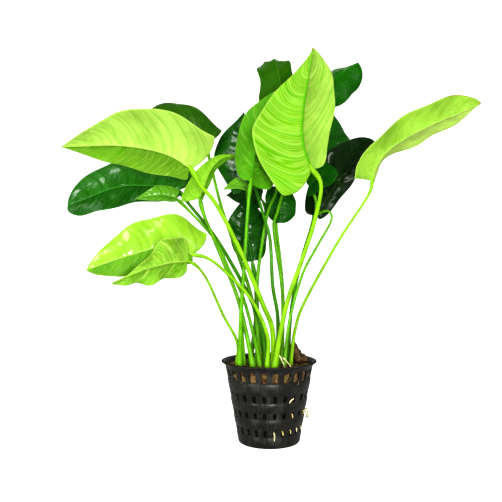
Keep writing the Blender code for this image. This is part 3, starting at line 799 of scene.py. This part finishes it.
def blade_point(leaf, halves, upper, row, across):
    """A point on one face of a blade."""
    reach = abs(across)
    half = leaf.right if across > 0 else leaf.left
    centre, ahead, side, width, up = halves[across > 0][row]
    along = SHARES[row]
    turn = 2 * math.pi * RIPPLES * along + len(leaf.name) + (OTHER_HALF if across > 0 else 0.0)
    width *= 1 + SCALLOP * leaf.wave * math.cos(turn) * math.sin(math.pi * along)
    out = side.length * width
    crease = min(reach / CREASE_REACH, 1.0)
    both = (halves[True][row][4] + halves[False][row][4]).normalized()
    up = both.lerp(up, crease * crease * (3 - 2 * crease)).normalized()
    back = half.lobe * max(1 - along / half.widest, 0.0) ** LOBE_FADE * reach * (2 - reach)
    forward = half.sweep * out * reach ** 2 * min(along / half.widest, 1.0)
    lift = BULGE * out * 4 * reach * (1 - reach)
    lift += leaf.wave * min(out / WAVE_WIDTH, 1.0) * reach ** 2 * math.sin(turn)
    inner = min(reach / SMOOTH_RIM, 1.0) * min((1 - reach) / SMOOTH_RIM, 1.0) * min(out / PUCKER_WIDTH, 1.0)
    lift -= PUCKER * inner * vein_height(leaf, along, across)
    lift += CRUMPLE * leaf.crumple * inner * noise.noise((centre + side * width * reach) / CRUMPLE_SIZE)
    middle = centre + side * width * reach + ahead * (forward - back) + up * lift
    distance = reach * out
    ridge = math.sqrt(max(1 - (distance / RIB_WIDTH) ** 2, 0.0)) * min(1.0, out / RIDGE_FADE)
    thinning = 1 - RIB_THINNING * along
    edge = min(1.0, math.sqrt((1 - reach) / ROUND_MARGIN)) * end_share(row)
    if upper:
        return middle + up * edge * (HALF_THICKNESS - GROOVE * ridge * thinning)
    return middle - up * edge * (HALF_THICKNESS + RIB_DEPTH * leaf.size * ridge * thinning)


# %% Grow the blades
def make_blade(leaf):
    """The blade of one leaf, with the points of its rib and the way its upper face looks at the joint."""
    line = smooth_line(raised(leaf.rib))
    rib = spread(line, SHARES)
    halves = {True: half_rows(leaf, leaf.right, rib, 1), False: half_rows(leaf, leaf.left, rib, -1)}
    last = len(ACROSS) - 1

    def place(i, j):
        across = ACROSS[i] if i <= last else ACROSS[2 * last - i]
        return blade_point(leaf, halves, i <= last, j, across)

    def chart(i, j):
        across = ACROSS[i] if i <= last else ACROSS[2 * last - i]
        return 0.5 + 0.5 * across, SHARES[j]

    blade = grow_sleeve("blade_" + leaf.name, 2 * last, ROWS, place, chart, lambda i: int(i >= last))
    upper, under = leaf_faces(leaf)
    stand_in_for(blade, "leaf_" + leaf.name, leaf.slot, upper, under)
    ups = [row[4] for row in halves[True]]
    return blade, rib, (ups[2] + halves[False][2][4]).normalized()


joints = {}
for each_leaf in LEAVES:
    each_blade, each_rib, each_up = make_blade(each_leaf)
    joints[each_leaf.name] = (each_rib, each_up)
    print(each_blade.name, len(each_blade.data.polygons), "faces")

# %% [markdown]
# ## The stalks
#
# A stalk is a long thin tube. On the real plant it is wider at the foot, where it clasps the crown, thins
# on the way up, and swells again into a smooth joint just under the blade: that joint turns the blade to
# the light. Then it runs on into the midrib. A curve with a bevel could make this, but it has the same
# thickness rule for all its length, so the tube helper is used, with the thickness written as a function.

# %% The stalk finish
STALK_CLOUD_SIZE = 9.0
STALK_LINES = 7.0
STALK_LINE_RANGE = (0.1, 0.4)
STALK_LINE_SHARE = 0.18
STALK_LINE_RELIEF = 0.6
PALE_FOOT_REACH = 0.16
PALE_FOOT_SHARE = 0.55


def stalk_finish(name, colour, pale):
    """Waxy green, paler at the foot, with fine lines along it."""
    finish, tree, shader = new_finish(name, 0.3, specular=0.15)
    places = add_node(tree, "TexCoord").outputs
    chart = add_node(tree, "SeparateXYZ", {0: places["UV"]}).outputs
    mottle = mottled(tree, places, STALK_CLOUD_SIZE)
    ground = two_tones(tree, mottle, colour, 0.8, 1.15)
    foot = maths(tree, "SUBTRACT", 1.0, fade(tree, chart[1], 0.0, PALE_FOOT_REACH))
    ground = blend(tree, maths(tree, "MULTIPLY", foot, PALE_FOOT_SHARE), ground, tinted(pale, 1.0))
    turns = maths(tree, "PINGPONG", maths(tree, "MULTIPLY", chart[0], STALK_LINES), 0.5)
    lines = fade(tree, turns, *STALK_LINE_RANGE)
    ground = blend(tree, maths(tree, "MULTIPLY", lines, STALK_LINE_SHARE), ground, tinted(colour, 1.5))
    tree.links.new(ground, shader.inputs["Base Color"])
    height = maths(tree, "MULTIPLY_ADD", lines, STALK_LINE_RELIEF, mottle["Grain"])
    bumps(tree, shader, height, 0.03)
    return finish


PALE_FOOT = (0.22, 0.46, 0.02)
STALKS = {
    "bright": stalk_finish("stalk_bright", (0.11, 0.33, 0.005), PALE_FOOT),
    "lime": stalk_finish("stalk_lime", (0.20, 0.42, 0.010), PALE_FOOT),
    "green": stalk_finish("stalk_green", (0.05, 0.20, 0.006), (0.16, 0.36, 0.02)),
}
STALK_LOOKS = {"lime": "lime", "dark": "green"}

# %% Grow the stalks
FOOT_RADIUS = 1.35
TOP_RADIUS = 0.9
FOOT_SINK = -2.5
FOOT_FLARE = 0.75
FLARE_REACH = 5.0
SWELL = 0.45
SWELL_PLACE = 6.5
SWELL_REACH = 4.5
FLAT_SIDE = 0.10
FLAT_SIDE_TURN = 0.6
ENDING_REACH = 5.0
ENDING_SHARE = 0.35
JOINED_ROWS = (4, 16)
STALK_AROUND = 16
STALK_STEPS = 90
UNDER_BLADE = 0.55


def make_stalk(leaf):
    """The stalk of one leaf, from its foot on the crown to the underside of its midrib."""
    rib, up = joints[leaf.name]
    under = up * -UNDER_BLADE
    joined = [rib[row] + under for row in JOINED_ROWS]
    line = smooth_line(raised(((*leaf.foot, FOOT_SINK), (*leaf.foot, 3.0), *leaf.stalk)) + joined)
    length = line_length(line)

    def radius(turn, share):
        gone = share * length
        left = length - gone
        thick = FOOT_RADIUS + (TOP_RADIUS - FOOT_RADIUS) * share
        thick += FOOT_FLARE * math.exp(-max(gone + FOOT_SINK, 0.0) / FLARE_REACH)
        thick += SWELL * math.exp(-((left - SWELL_PLACE) / SWELL_REACH) ** 2)
        thick *= 1 - FLAT_SIDE * math.exp(-((turn - math.pi) / FLAT_SIDE_TURN) ** 2)
        ending = min(left / ENDING_REACH, 1.0)
        return leaf.size * thick * (ENDING_SHARE + (1 - ENDING_SHARE) * ending)

    stalk = grow_tube("stalk_piece_" + leaf.name, line, STALK_AROUND, STALK_STEPS, radius)
    slot = "stalk_light" if leaf.slot in ("leaf_light", "leaf_fresh") else "stalk_deep"
    stand_in_for(stalk, "stalk_" + leaf.name, slot, STALKS[STALK_LOOKS.get(leaf.tint, "bright")])
    return stalk


for each_leaf in LEAVES:
    each_stalk = make_stalk(each_leaf)
print(len(LEAVES), "stalks, each", len(each_stalk.data.polygons), "faces")

# %% [markdown]
# ## The net pot
#
# A net pot is injection moulded in black plastic: a tapered cup with a rolled lip, rows of slots for roots
# to pass, and a slotted floor. All twenty-four sectors of the wall are the same, so one sector is modelled
# as a strip of faces from the middle of the floor up to the lip. Its wall slots are deleted, and it is
# copied round and merged, and every other sector gets a slot in the floor. Then the wall gets its thickness
# inwards, and its edges are rounded, as a mould would.

# %% The pot's sizes
POT_HEIGHT = 48.3
BASE_RADIUS = 18.3
SHOULDER_RADIUS = 26.4
LIP_RADIUS = 28.5
LIP_HEIGHT = 2.2
POT_WALL = 1.1
BASE_CHAMFER = 0.9
SECTORS = 24
FIRST_SLOT_TURN = 7.0
BASE_SLOT_REACH = (7.0, 14.0)
FLOOR_SLOT_HALF_WIDTH = 1.2
HUB_RADIUS = 0.6
SLOT_ROWS = ((7.0, 11.0, 1.9), (17.6, 21.2, 2.0), (27.3, 31.3, 2.1), (38.6, 44.6, 3.7))
SLOT_CORNER = 0.45
BAND_STEP = 0.2
BAND_MARGIN = 1.0
BAND_EDGE = 0.6
RIM_WIDTH = 3.4
RIM_CURVE = ((0.03, 0.0), (0.16, 0.27), (0.42, 0.5), (0.78, 0.66), (1.0, 0.78), (1.0, 0.92), (0.86, 1.0))


def wall_radius(height):
    """The pot's outer radius at a height above the floor."""
    shoulder = POT_HEIGHT - LIP_HEIGHT
    return BASE_RADIUS + (SHOULDER_RADIUS - BASE_RADIUS) * height / shoulder


def pot_profile():
    """Rings of the skin: (radius, height, slot width, and whether a slot is open up to the next ring)."""
    inner, outer = BASE_SLOT_REACH
    rings = [(HUB_RADIUS, 0.0, 0.1, False), (2.5, 0.12, 0.4, False), (inner - 1.2, 0.12, 1.1, False),
             (inner, 0.0, 1.5, True), (inner + 1, 0.0, 1.9, True), (outer - 1, 0.0, 2.6, True),
             (outer, 0.0, 2.2, False), (outer + 1.2, 0.0, 2.4, False),
             (BASE_RADIUS - BASE_CHAMFER, 0.0, 2.4, False),
             (BASE_RADIUS - 0.3 * BASE_CHAMFER, 0.25 * BASE_CHAMFER, 2.2, False),
             (wall_radius(BASE_CHAMFER), BASE_CHAMFER, 2.0, False)]
    for low, high, width in SLOT_ROWS:
        narrow = width - 2 * SLOT_CORNER
        below, above = low - BAND_EDGE, high + BAND_EDGE
        rings.append((wall_radius(low - BAND_MARGIN), low - BAND_MARGIN, width, False))
        for level, height, opening, is_open in (
                (below, below, width, False), (low, low, narrow, True),
                (low, low + SLOT_CORNER, width, True), (high, high - SLOT_CORNER, width, True),
                (high, high, narrow, False), (above, above, width, False)):
            rings.append((wall_radius(level) - BAND_STEP, height, opening, is_open))
        rings.append((wall_radius(high + BAND_MARGIN), high + BAND_MARGIN, width, False))
    shoulder = POT_HEIGHT - LIP_HEIGHT
    flare = LIP_RADIUS - SHOULDER_RADIUS
    for reach, rise in RIM_CURVE:
        rings.append((SHOULDER_RADIUS + flare * reach, shoulder + LIP_HEIGHT * rise, RIM_WIDTH, False))
    return rings


print(len(pot_profile()), "rings from the floor's middle to the lip")

# %% Model one sector of the pot
STRIPS = 6
PITCH = 2 * math.pi / SECTORS
WIDEST_SLOT = 0.8 * PITCH
FIRST_TURN = math.radians(FIRST_SLOT_TURN - 90)


def sector_turn(column, radius, width):
    """The turn of one column edge of a sector, in radians: the slot lies between columns 2 and 4."""
    slot = min(width / radius, WIDEST_SLOT)
    stops = (-PITCH / 2, -(PITCH + slot) / 4, -slot / 2, 0.0, slot / 2, (PITCH + slot) / 4, PITCH / 2)
    return stops[column]


def delete_faces(piece, unwanted):
    """Deletes the faces of the active piece for which unwanted(face) is true."""
    with editing("FACE"):
        bpy.ops.mesh.select_all(action="DESELECT")
    for face in piece.data.polygons:
        face.select = unwanted(face)
    with editing("FACE"):
        bpy.ops.mesh.delete(type="FACE")


def make_sector():
    """The skin of one sector, with its wall slots cut out."""
    rings = pot_profile()
    sector, spots = new_grid(STRIPS, len(rings) - 1)
    for vertex, (column, row) in zip(sector.data.vertices, spots):
        radius, height, width, _ = rings[row]
        turn = sector_turn(column, radius, width)
        vertex.co = Vector((radius * math.cos(turn), radius * math.sin(turn), height)) * MM

    def in_wall_slot(face):
        column = min(spots[corner][0] for corner in face.vertices)
        row = min(spots[corner][1] for corner in face.vertices)
        return rings[row][3] and column in (2, 3) and rings[row][1] > 0.0

    delete_faces(sector, in_wall_slot)
    return sector


pot_sector = make_sector()
print("one sector has", len(pot_sector.data.polygons), "faces")

# %% Copy the sector round and give the wall its thickness
SECTOR_MERGE = 1e-5
MOULD_RADIUS = 0.18


def copies_round(sector):
    """The sector and its copies all the way round, joined."""
    whole = [sector]
    for number in range(1, SECTORS):
        copy = bpy.data.objects.new("sector", sector.data.copy())
        bpy.context.scene.collection.objects.link(copy)
        copy.data.transform(Matrix.Rotation(FIRST_TURN + number * PITCH, 4, "Z"))
        whole.append(copy)
    sector.data.transform(Matrix.Rotation(FIRST_TURN, 4, "Z"))
    return join_all(whole)


def open_floor_slots(pot):
    """Deletes the faces of every other sector's floor slot."""
    inner, outer = BASE_SLOT_REACH

    def in_floor_slot(face):
        centre = face.center / MM
        reach = math.hypot(centre.x, centre.y)
        turn = (math.atan2(centre.y, centre.x) - FIRST_TURN) % (2 * PITCH)
        turn = min(turn, 2 * PITCH - turn)
        return centre.z < 0.05 and inner < reach < outer and turn * reach < FLOOR_SLOT_HALF_WIDTH

    delete_faces(pot, in_floor_slot)


def close_floor(pot):
    """Merges the sectors, and fills the small round hole left in the middle of the floor."""
    with editing():
        bpy.ops.mesh.select_all(action="SELECT")
        bpy.ops.mesh.remove_doubles(threshold=SECTOR_MERGE)
        bpy.ops.mesh.select_all(action="DESELECT")
    for vertex in pot.data.vertices:
        vertex.select = math.hypot(vertex.co.x, vertex.co.y) < (HUB_RADIUS + 0.1) * MM
    with editing():
        bpy.ops.mesh.edge_face_add()
        bpy.ops.mesh.select_all(action="SELECT")
        bpy.ops.mesh.normals_make_consistent(inside=False)


def apply(piece, name, kind, **settings):
    """Adds a modifier, sets it and applies it."""
    added = piece.modifiers.new(name, kind)
    for key, value in settings.items():
        setattr(added, key, value)
    bpy.ops.object.modifier_apply(modifier=name)


pot = copies_round(pot_sector)
pot.name = "pot_shell"
pot.data.name = "pot_shell"
open_floor_slots(pot)
close_floor(pot)
apply(pot, "wall", "SOLIDIFY", thickness=POT_WALL * MM, offset=-1.0, use_even_offset=True)
apply(pot, "edges", "BEVEL", width=MOULD_RADIUS * MM, segments=2, limit_method="ANGLE",
      angle_limit=math.radians(35))
bpy.ops.object.shade_smooth_by_angle(angle=math.radians(40))
print("the pot has", len(pot.data.polygons), "faces")

# %% The pot's plastic
FLOW_SCALE = (900.0, 900.0, 60.0)
DUST_RANGE = (0.6, 1.05)
PLASTIC_BLACK = (0.0125, 0.0122, 0.0100, 1.0)
DUST_GREY = (0.050, 0.048, 0.036, 1.0)
DUST_SHARE = 0.35
POT_CLOUD_SIZE = 7.0
CLEAN_ROUGHNESS = 0.27
DUST_ROUGHNESS = 0.30
POT_RELIEF = 0.05


def pot_finish():
    """Black moulded plastic: satin, a little dusty and scuffed, with faint flow lines down the wall."""
    finish, tree, shader = new_finish("pot_plastic", 0.30, specular=0.4)
    places = add_node(tree, "TexCoord").outputs
    mottle = mottled(tree, places, POT_CLOUD_SIZE)
    stretched = add_node(tree, "Mapping", {"Vector": places["Object"], "Scale": FLOW_SCALE})
    flow = speckle(tree, stretched.outputs[0], 1.0, 2.0)
    dust = fade(tree, maths(tree, "MULTIPLY_ADD", mottle["Cloud"], 0.4, flow), *DUST_RANGE)
    ground = blend(tree, maths(tree, "MULTIPLY", dust, DUST_SHARE), PLASTIC_BLACK, DUST_GREY)
    tree.links.new(ground, shader.inputs["Base Color"])
    uneven = maths(tree, "MULTIPLY_ADD", dust, DUST_ROUGHNESS, CLEAN_ROUGHNESS)
    tree.links.new(uneven, shader.inputs["Roughness"])
    bumps(tree, shader, maths(tree, "MULTIPLY_ADD", flow, 0.5, mottle["Grain"]), POT_RELIEF)
    return finish


stand_in_for(pot, "net_pot", "pot_plastic", pot_finish())

# %% [markdown]
# ## The fibre plug
#
# The roots stand in a plug of coarse brown fibre. Its body is a tapered cylinder whose skin is pushed in
# and out by a cloud texture, and short loose fibres lie all over it, because the eye reads fibre from its
# strands, and the slots show them close up. One strand is modelled three ways and copied.

# %% The body of the plug
PLUG_INSET = 0.15
PLUG_FLOOR = POT_WALL + 0.3
PLUG_RISE = 0.7
PLUG_VOXEL = 0.85


def make_plug():
    """The fibre that fills the pot: a tapered cylinder, remeshed and roughened."""
    top = wall_radius(PLUG_TOP) - POT_WALL - PLUG_INSET
    bottom = wall_radius(PLUG_FLOOR) - POT_WALL - PLUG_INSET
    height = PLUG_TOP + PLUG_RISE - PLUG_FLOOR
    bpy.ops.object.select_all(action="DESELECT")
    bpy.ops.mesh.primitive_cone_add(vertices=96, radius1=bottom * MM, radius2=top * MM, depth=height * MM,
                                    location=(0.0, 0.0, (PLUG_FLOOR + height / 2) * MM))
    body = bpy.context.object
    body.name = "plug_body"
    bpy.ops.object.transform_apply(location=True, rotation=True, scale=True)
    apply(body, "even", "REMESH", mode="VOXEL", voxel_size=PLUG_VOXEL * MM)
    clouds = bpy.data.textures.new("fibre_clouds", "CLOUDS")
    clouds.noise_scale = 2.2 * MM
    clouds.noise_depth = 3
    apply(body, "rough", "DISPLACE", texture=clouds, texture_coords="LOCAL", strength=1.5 * MM,
          mid_level=0.56)
    bpy.ops.object.shade_smooth()
    return body


plug = make_plug()
print("the plug has", len(plug.data.polygons), "faces")

# %% Loose fibres
STRANDS_ON_TOP = 420
STRANDS_AT_SLOTS = 340
STRAND_LENGTH = 7.0
STRAND_RADIUS = 0.16
dice = random.Random(11)


def strand_shape(bend, wiggle):
    """One short fibre along X, a few dozen faces."""
    points = [(-0.5, 0.0, 0.0), (-0.2, bend, wiggle), (0.15, -bend / 2, 0.0), (0.5, bend, -wiggle)]
    line = smooth_line([Vector(point) * STRAND_LENGTH for point in points], samples=6)
    return grow_tube("strand", line, 4, 7, lambda turn, share: STRAND_RADIUS * (1.15 - share))


def scatter(shapes):
    """Copies of the strands on the top of the plug and behind the rows of slots."""
    copies = []
    for number in range(STRANDS_ON_TOP + STRANDS_AT_SLOTS):
        mesh = dice.choice(shapes).data.copy()
        spin = dice.uniform(0.0, 2 * math.pi)
        size = dice.uniform(0.5, 1.1)
        if number < STRANDS_ON_TOP:
            reach = (wall_radius(PLUG_TOP) - POT_WALL - 2.0) * math.sqrt(dice.random())
            turn = dice.uniform(0.0, 2 * math.pi)
            tilt = Matrix.Rotation(dice.uniform(-0.3, 0.3), 4, "Y")
            height = PLUG_TOP + dice.uniform(0.3, 1.0)
            place = Vector((reach * math.cos(turn), reach * math.sin(turn), height))
            move = Matrix.Translation(place * MM) @ Matrix.Rotation(spin, 4, "Z") @ tilt
        else:
            low, high, _ = dice.choice(SLOT_ROWS + SLOT_ROWS[-1:] * 3)
            height = dice.uniform(low - 1, high + 1)
            reach = wall_radius(height) - POT_WALL - PLUG_INSET + dice.uniform(-0.1, 0.25)
            turn = dice.uniform(0.0, 2 * math.pi)
            out = Matrix.Rotation(turn, 4, "Z") @ Matrix.Translation((reach * MM, 0.0, height * MM))
            move = out @ Matrix.Rotation(spin, 4, "X") @ Matrix.Rotation(math.pi / 2, 4, "Z")
        mesh.transform(move @ Matrix.Diagonal((size, size, size, 1.0)))
        copy = bpy.data.objects.new("strand", mesh)
        bpy.context.scene.collection.objects.link(copy)
        copies.append(copy)
    return copies


strands = [strand_shape(0.10, 0.02), strand_shape(-0.14, 0.03), strand_shape(0.05, -0.04)]
copies = scatter(strands)
for each_shape in strands:
    bpy.data.objects.remove(each_shape)
fibres = join_all(copies)
fibres.name = "loose_fibres"
print("the loose fibres have", len(fibres.data.polygons), "faces")

# %% The fibre's finish
DARKER_BELOW = 33.0
PALER_ABOVE = 39.0
LOW_TONE = 0.3
FIBRE_CLOUD_SIZE = 3.0
FIBRE_TONES = (0.25, 0.85)
FIBRE_RELIEF = 0.3


def fibre_finish(name, dark, light):
    """Coarse fibre in two browns, pale near the top and darker lower down."""
    finish, tree, shader = new_finish(name, 0.9, specular=0.2)
    places = add_node(tree, "TexCoord").outputs
    mottle = mottled(tree, places, FIBRE_CLOUD_SIZE)
    cloud = maths(tree, "MULTIPLY", mottle["Cloud"], 0.5)
    mixed = fade(tree, maths(tree, "MULTIPLY_ADD", mottle["Grain"], 0.7, cloud), *FIBRE_TONES)
    ground = blend(tree, mixed, tinted(dark, 1.0), tinted(light, 1.0))
    height = add_node(tree, "SeparateXYZ", {0: places["Object"]}).outputs[2]
    # The share of the paler colour, which rises with height.
    dry = fade(tree, height, DARKER_BELOW * MM, PALER_ABOVE * MM)
    ground = blend(tree, dry, tinted(dark, LOW_TONE), ground)
    tree.links.new(ground, shader.inputs["Base Color"])
    bumps(tree, shader, mottle["Grain"], FIBRE_RELIEF)
    return finish


body_finish = fibre_finish("fibre_body", (0.035, 0.02, 0.008), (0.20, 0.135, 0.055))
strand_finish = fibre_finish("fibre_strands", (0.09, 0.055, 0.02), (0.46, 0.34, 0.17))
stand_in_for(plug, "growing_medium", "fibre", body_finish)
stand_in_for(fibres, "growing_medium", "fibre", strand_finish)

# %% [markdown]
# ## The rhizome and the roots
#
# The rhizome is the creeping stem that all the leaves grow from. It lies on the plug like a knobbly
# thumb, ringed by the scars of old leaves, and ends in a pointed bud. Roots leave it, go down through the
# fibre and come out at the slots, cream where they are new.

# %% The rhizome
RHIZOME_LINE = ((23.0, 3, 2.4), (20.5, 3.6, 3.2), (18, 4, 3.6), (16.8, 4.2, 5.5), (15.5, 4.5, 9.5),
                (14.8, 4.6, 15.6))
RHIZOME_RADII = ((0.0, 1.6), (0.12, 3.2), (0.3, 3.7), (0.5, 3.4), (0.7, 2.4), (0.88, 1.2), (1.0, 0.2))
SCAR_DEPTH = 0.16
SCAR_PACE = 24
LUMP_HEIGHT = 0.1225


def make_rhizome():
    """A tube along the rhizome's line, whose radius follows the table of (share of the way, radius)."""
    line = smooth_line(raised(RHIZOME_LINE))

    def radius(turn, share):
        spans = zip(RHIZOME_RADII, RHIZOME_RADII[1:])
        low, high = next((start, end) for start, end in spans if share <= end[0])
        part = (share - low[0]) / (high[0] - low[0])
        thick = low[1] + (high[1] - low[1]) * part * part * (3 - 2 * part)
        rings = SCAR_DEPTH * abs(math.sin(share * SCAR_PACE)) ** 3
        lumps = noise.noise(Vector((2.2 * math.cos(turn), 2.2 * math.sin(turn), 9 * share)))
        return max(thick * (1 + LUMP_HEIGHT * lumps) - rings * min(thick, 1.0), 0.15)

    return grow_tube("rhizome_piece", line, 32, 70, radius)


def bark_finish():
    """Brown bark with darker rings, the scars of old leaves."""
    finish, tree, shader = new_finish("rhizome_bark", 0.7, specular=0.3)
    places = add_node(tree, "TexCoord").outputs
    mottle = mottled(tree, places, 4.0)
    chart = add_node(tree, "SeparateXYZ", {0: places["UV"]}).outputs
    scars = maths(tree, "PINGPONG", maths(tree, "MULTIPLY_ADD", chart[1], 9.0, mottle["Cloud"]), 0.5)
    ground = blend(tree, mottle["Cloud"], (0.045, 0.022, 0.008, 1.0), (0.19, 0.12, 0.05, 1.0))
    scarred = maths(tree, "MULTIPLY", fade(tree, scars, 0.3, 0.5), 0.5)
    ground = blend(tree, scarred, ground, (0.03, 0.014, 0.006, 1.0))
    tree.links.new(ground, shader.inputs["Base Color"])
    bumps(tree, shader, maths(tree, "ADD", mottle["Grain"], mottle["Cloud"]), 0.25)
    return finish


stand_in_for(make_rhizome(), "rhizome", "rhizome", bark_finish())

# %% The roots
ROOT_RADIUS = 0.45
ROOT_CLEARANCE = ROOT_RADIUS + 0.4


def on_wall(turn, height, out):
    """A point by the pot's wall: turned from the front towards +X, and out from the outer face."""
    angle = math.radians(turn - 90)
    radius = wall_radius(height) + out
    return radius * math.cos(angle), radius * math.sin(angle), height


def slot_turn(number):
    """The turn of a slot's middle, counted from the front towards +X."""
    return FIRST_SLOT_TURN + number * 360 / SECTORS


def root_finish(name, colour):
    """A pale root that drifts between two shades."""
    finish, tree, shader = new_finish(name, 0.55, specular=0.4)
    places = add_node(tree, "TexCoord").outputs
    mottle = mottled(tree, places, 2.5)
    ground = two_tones(tree, mottle, colour, 0.6, 1.15)
    tree.links.new(ground, shader.inputs["Base Color"])
    bumps(tree, shader, mottle["Grain"], 0.08)
    return finish


CREAM = root_finish("root_cream", (0.80, 0.74, 0.45))
STRAW = root_finish("root_straw", (0.58, 0.50, 0.20))


def make_root(name, node, points, finish, thick=ROOT_RADIUS):
    """A lumpy tube through the points that thins towards its end."""
    line = smooth_line(points)

    def radius(turn, share):
        lumps = 0.12 * noise.noise(Vector((math.cos(turn), math.sin(turn), 14 * share)))
        return thick * (1.05 - 0.4 * share) * (1 + lumps) * min(1.0, 6 * (1 - share) + 0.35)

    stand_in_for(grow_tube(name, line, 12, 40, radius), node, "root", finish)


lowest, low, middle, _ = ((row[0] + row[1]) / 2 for row in SLOT_ROWS)
INSIDE = -POT_WALL - 0.6
front, here, there = slot_turn(0), slot_turn(1), slot_turn(2)
make_root("crown_root_left", "root_crown_left",
          raised(((5.5, -8.8, 7.8), (7.0, -11, 5.5), (8.4, -12.8, 2), (9.3, -13.9, -0.6))), CREAM, 0.48)
make_root("crown_root_right", "root_crown_right",
          raised(((7.6, -9.3, 6.6), (10, -10.6, 4.2), (12, -11.8, 1.8), (13.2, -12.8, -0.6))), CREAM, 0.42)
make_root("slot_root_upper", "root_front_upper",
          (on_wall(there - 1.5, middle + 0.2, INSIDE),
           on_wall(there - 3.0, middle + 0.2, ROOT_CLEARANCE - 0.4),
           on_wall(here + 8.0, middle - 0.6, ROOT_CLEARANCE - 0.2),
           on_wall(here + 5.5, middle - 2.4, ROOT_CLEARANCE - 0.4)), CREAM, 0.42)
make_root("slot_root_lower", "root_front_lower",
          (on_wall(front, lowest + 0.8, INSIDE), on_wall(front, lowest, ROOT_CLEARANCE),
           on_wall(front, lowest - 4, ROOT_CLEARANCE + 0.1)), CREAM, 0.5)
for each_name, each_number, each_drop in (("upper", 5, 5.5), ("lower", 4, 4.0)):
    each_turn = slot_turn(each_number)
    make_root("side_root_" + each_name, "root_side_" + each_name,
              (on_wall(each_turn, low + 0.6, INSIDE), on_wall(each_turn, low + 0.2, ROOT_CLEARANCE + 0.2),
               on_wall(each_turn, low - each_drop / 2, ROOT_CLEARANCE + 1.3),
               on_wall(each_turn + 3, low - each_drop, ROOT_CLEARANCE + 1.1)), STRAW)

for each_number, each_height, each_finish in (
        (1, lowest, STRAW), (2, lowest + 0.3, STRAW), (3, lowest + 0.6, CREAM), (4, lowest + 1.0, CREAM),
        (2, low - 0.6, STRAW), (4, low - 0.3, STRAW)):
    each_turn = slot_turn(each_number)
    make_root(f"root_tip_{each_number}_{round(each_height)}", "root_front_lower",
              (on_wall(each_turn - 0.8, each_height + 1.7, INSIDE),
               on_wall(each_turn, each_height + 0.8, -0.3),
               on_wall(each_turn + 0.8, each_height - 1.2, -0.1)), each_finish, 0.5)
print("six roots and six root tips")

# %% [markdown]
# ## Floor and light
#
# The plant stands on a plain pale floor under soft studio light, with a pale sky all round. The key lamp is
# high at the front left. A low front lamp and a low left one put the sharp highlights on the leaves, a weak
# fill opens the right side, and a lamp behind lights the edges of the leaves.

# %% The floor
FLOOR_SIZE = 6.0
FLOOR_GREY = (0.5, 0.5, 0.5, 1.0)
BLACK = (0.0, 0.0, 0.0, 1.0)
WHITE = (1.0, 1.0, 1.0, 1.0)


def make_floor():
    """Evenly white to the camera, so no horizon shows, and a soft grey to the plant above it."""
    bpy.ops.object.select_all(action="DESELECT")
    bpy.ops.mesh.primitive_plane_add(size=FLOOR_SIZE, location=(0.0, 0.0, 0.0))
    floor = bpy.context.object
    floor.name = "floor"
    finish, tree, shader = new_finish("floor_paper", 0.9, specular=0.0)
    seen = add_node(tree, "LightPath").outputs["Is Camera Ray"]
    tree.links.new(blend(tree, seen, FLOOR_GREY, BLACK), shader.inputs["Base Color"])
    shader.inputs["Emission Color"].default_value = WHITE
    tree.links.new(seen, shader.inputs["Emission Strength"])
    floor.data.materials.append(finish)


make_floor()

# %% The lights
PLANT_MIDDLE = Vector((0.0, 0.0, 0.13))


def add_lamp(name, place, size, power):
    """A square lamp that is turned to the plant's middle."""
    bpy.ops.object.select_all(action="DESELECT")
    bpy.ops.object.light_add(type="AREA", location=place)
    lamp = bpy.context.object
    lamp.name = name
    lamp.data.size = size
    lamp.data.energy = power
    lamp.rotation_euler = (PLANT_MIDDLE - Vector(place)).to_track_quat("-Z", "Y").to_euler()


add_lamp("key", (-0.28, -0.65, 0.85), 0.4, 5.6)
add_lamp("front", (0.1, -0.9, 0.11), 0.2, 5.2)
add_lamp("fill", (0.9, -0.6, 0.35), 0.4, 2.0)
add_lamp("left", (-0.7, -0.7, 0.12), 0.2, 3.0)
add_lamp("back", (0.1, 0.8, 0.9), 0.6, 3.0)

# %% The sky
AMBIENT = 0.3
world = bpy.data.worlds.new("studio")
bpy.context.scene.world = world
world.use_nodes = True
sky = world.node_tree.nodes["Background"]
seen = world.node_tree.nodes.new("ShaderNodeLightPath").outputs["Is Camera Ray"]
strength = maths(world.node_tree, "MULTIPLY_ADD", seen, 1.0 - AMBIENT, AMBIENT)
world.node_tree.links.new(strength, sky.inputs["Strength"])
sky.inputs["Color"].default_value = WHITE
bpy.context.scene.view_settings.view_transform = "Standard"
bpy.context.scene.view_settings.look = "High Contrast"
print("lights and sky ready")
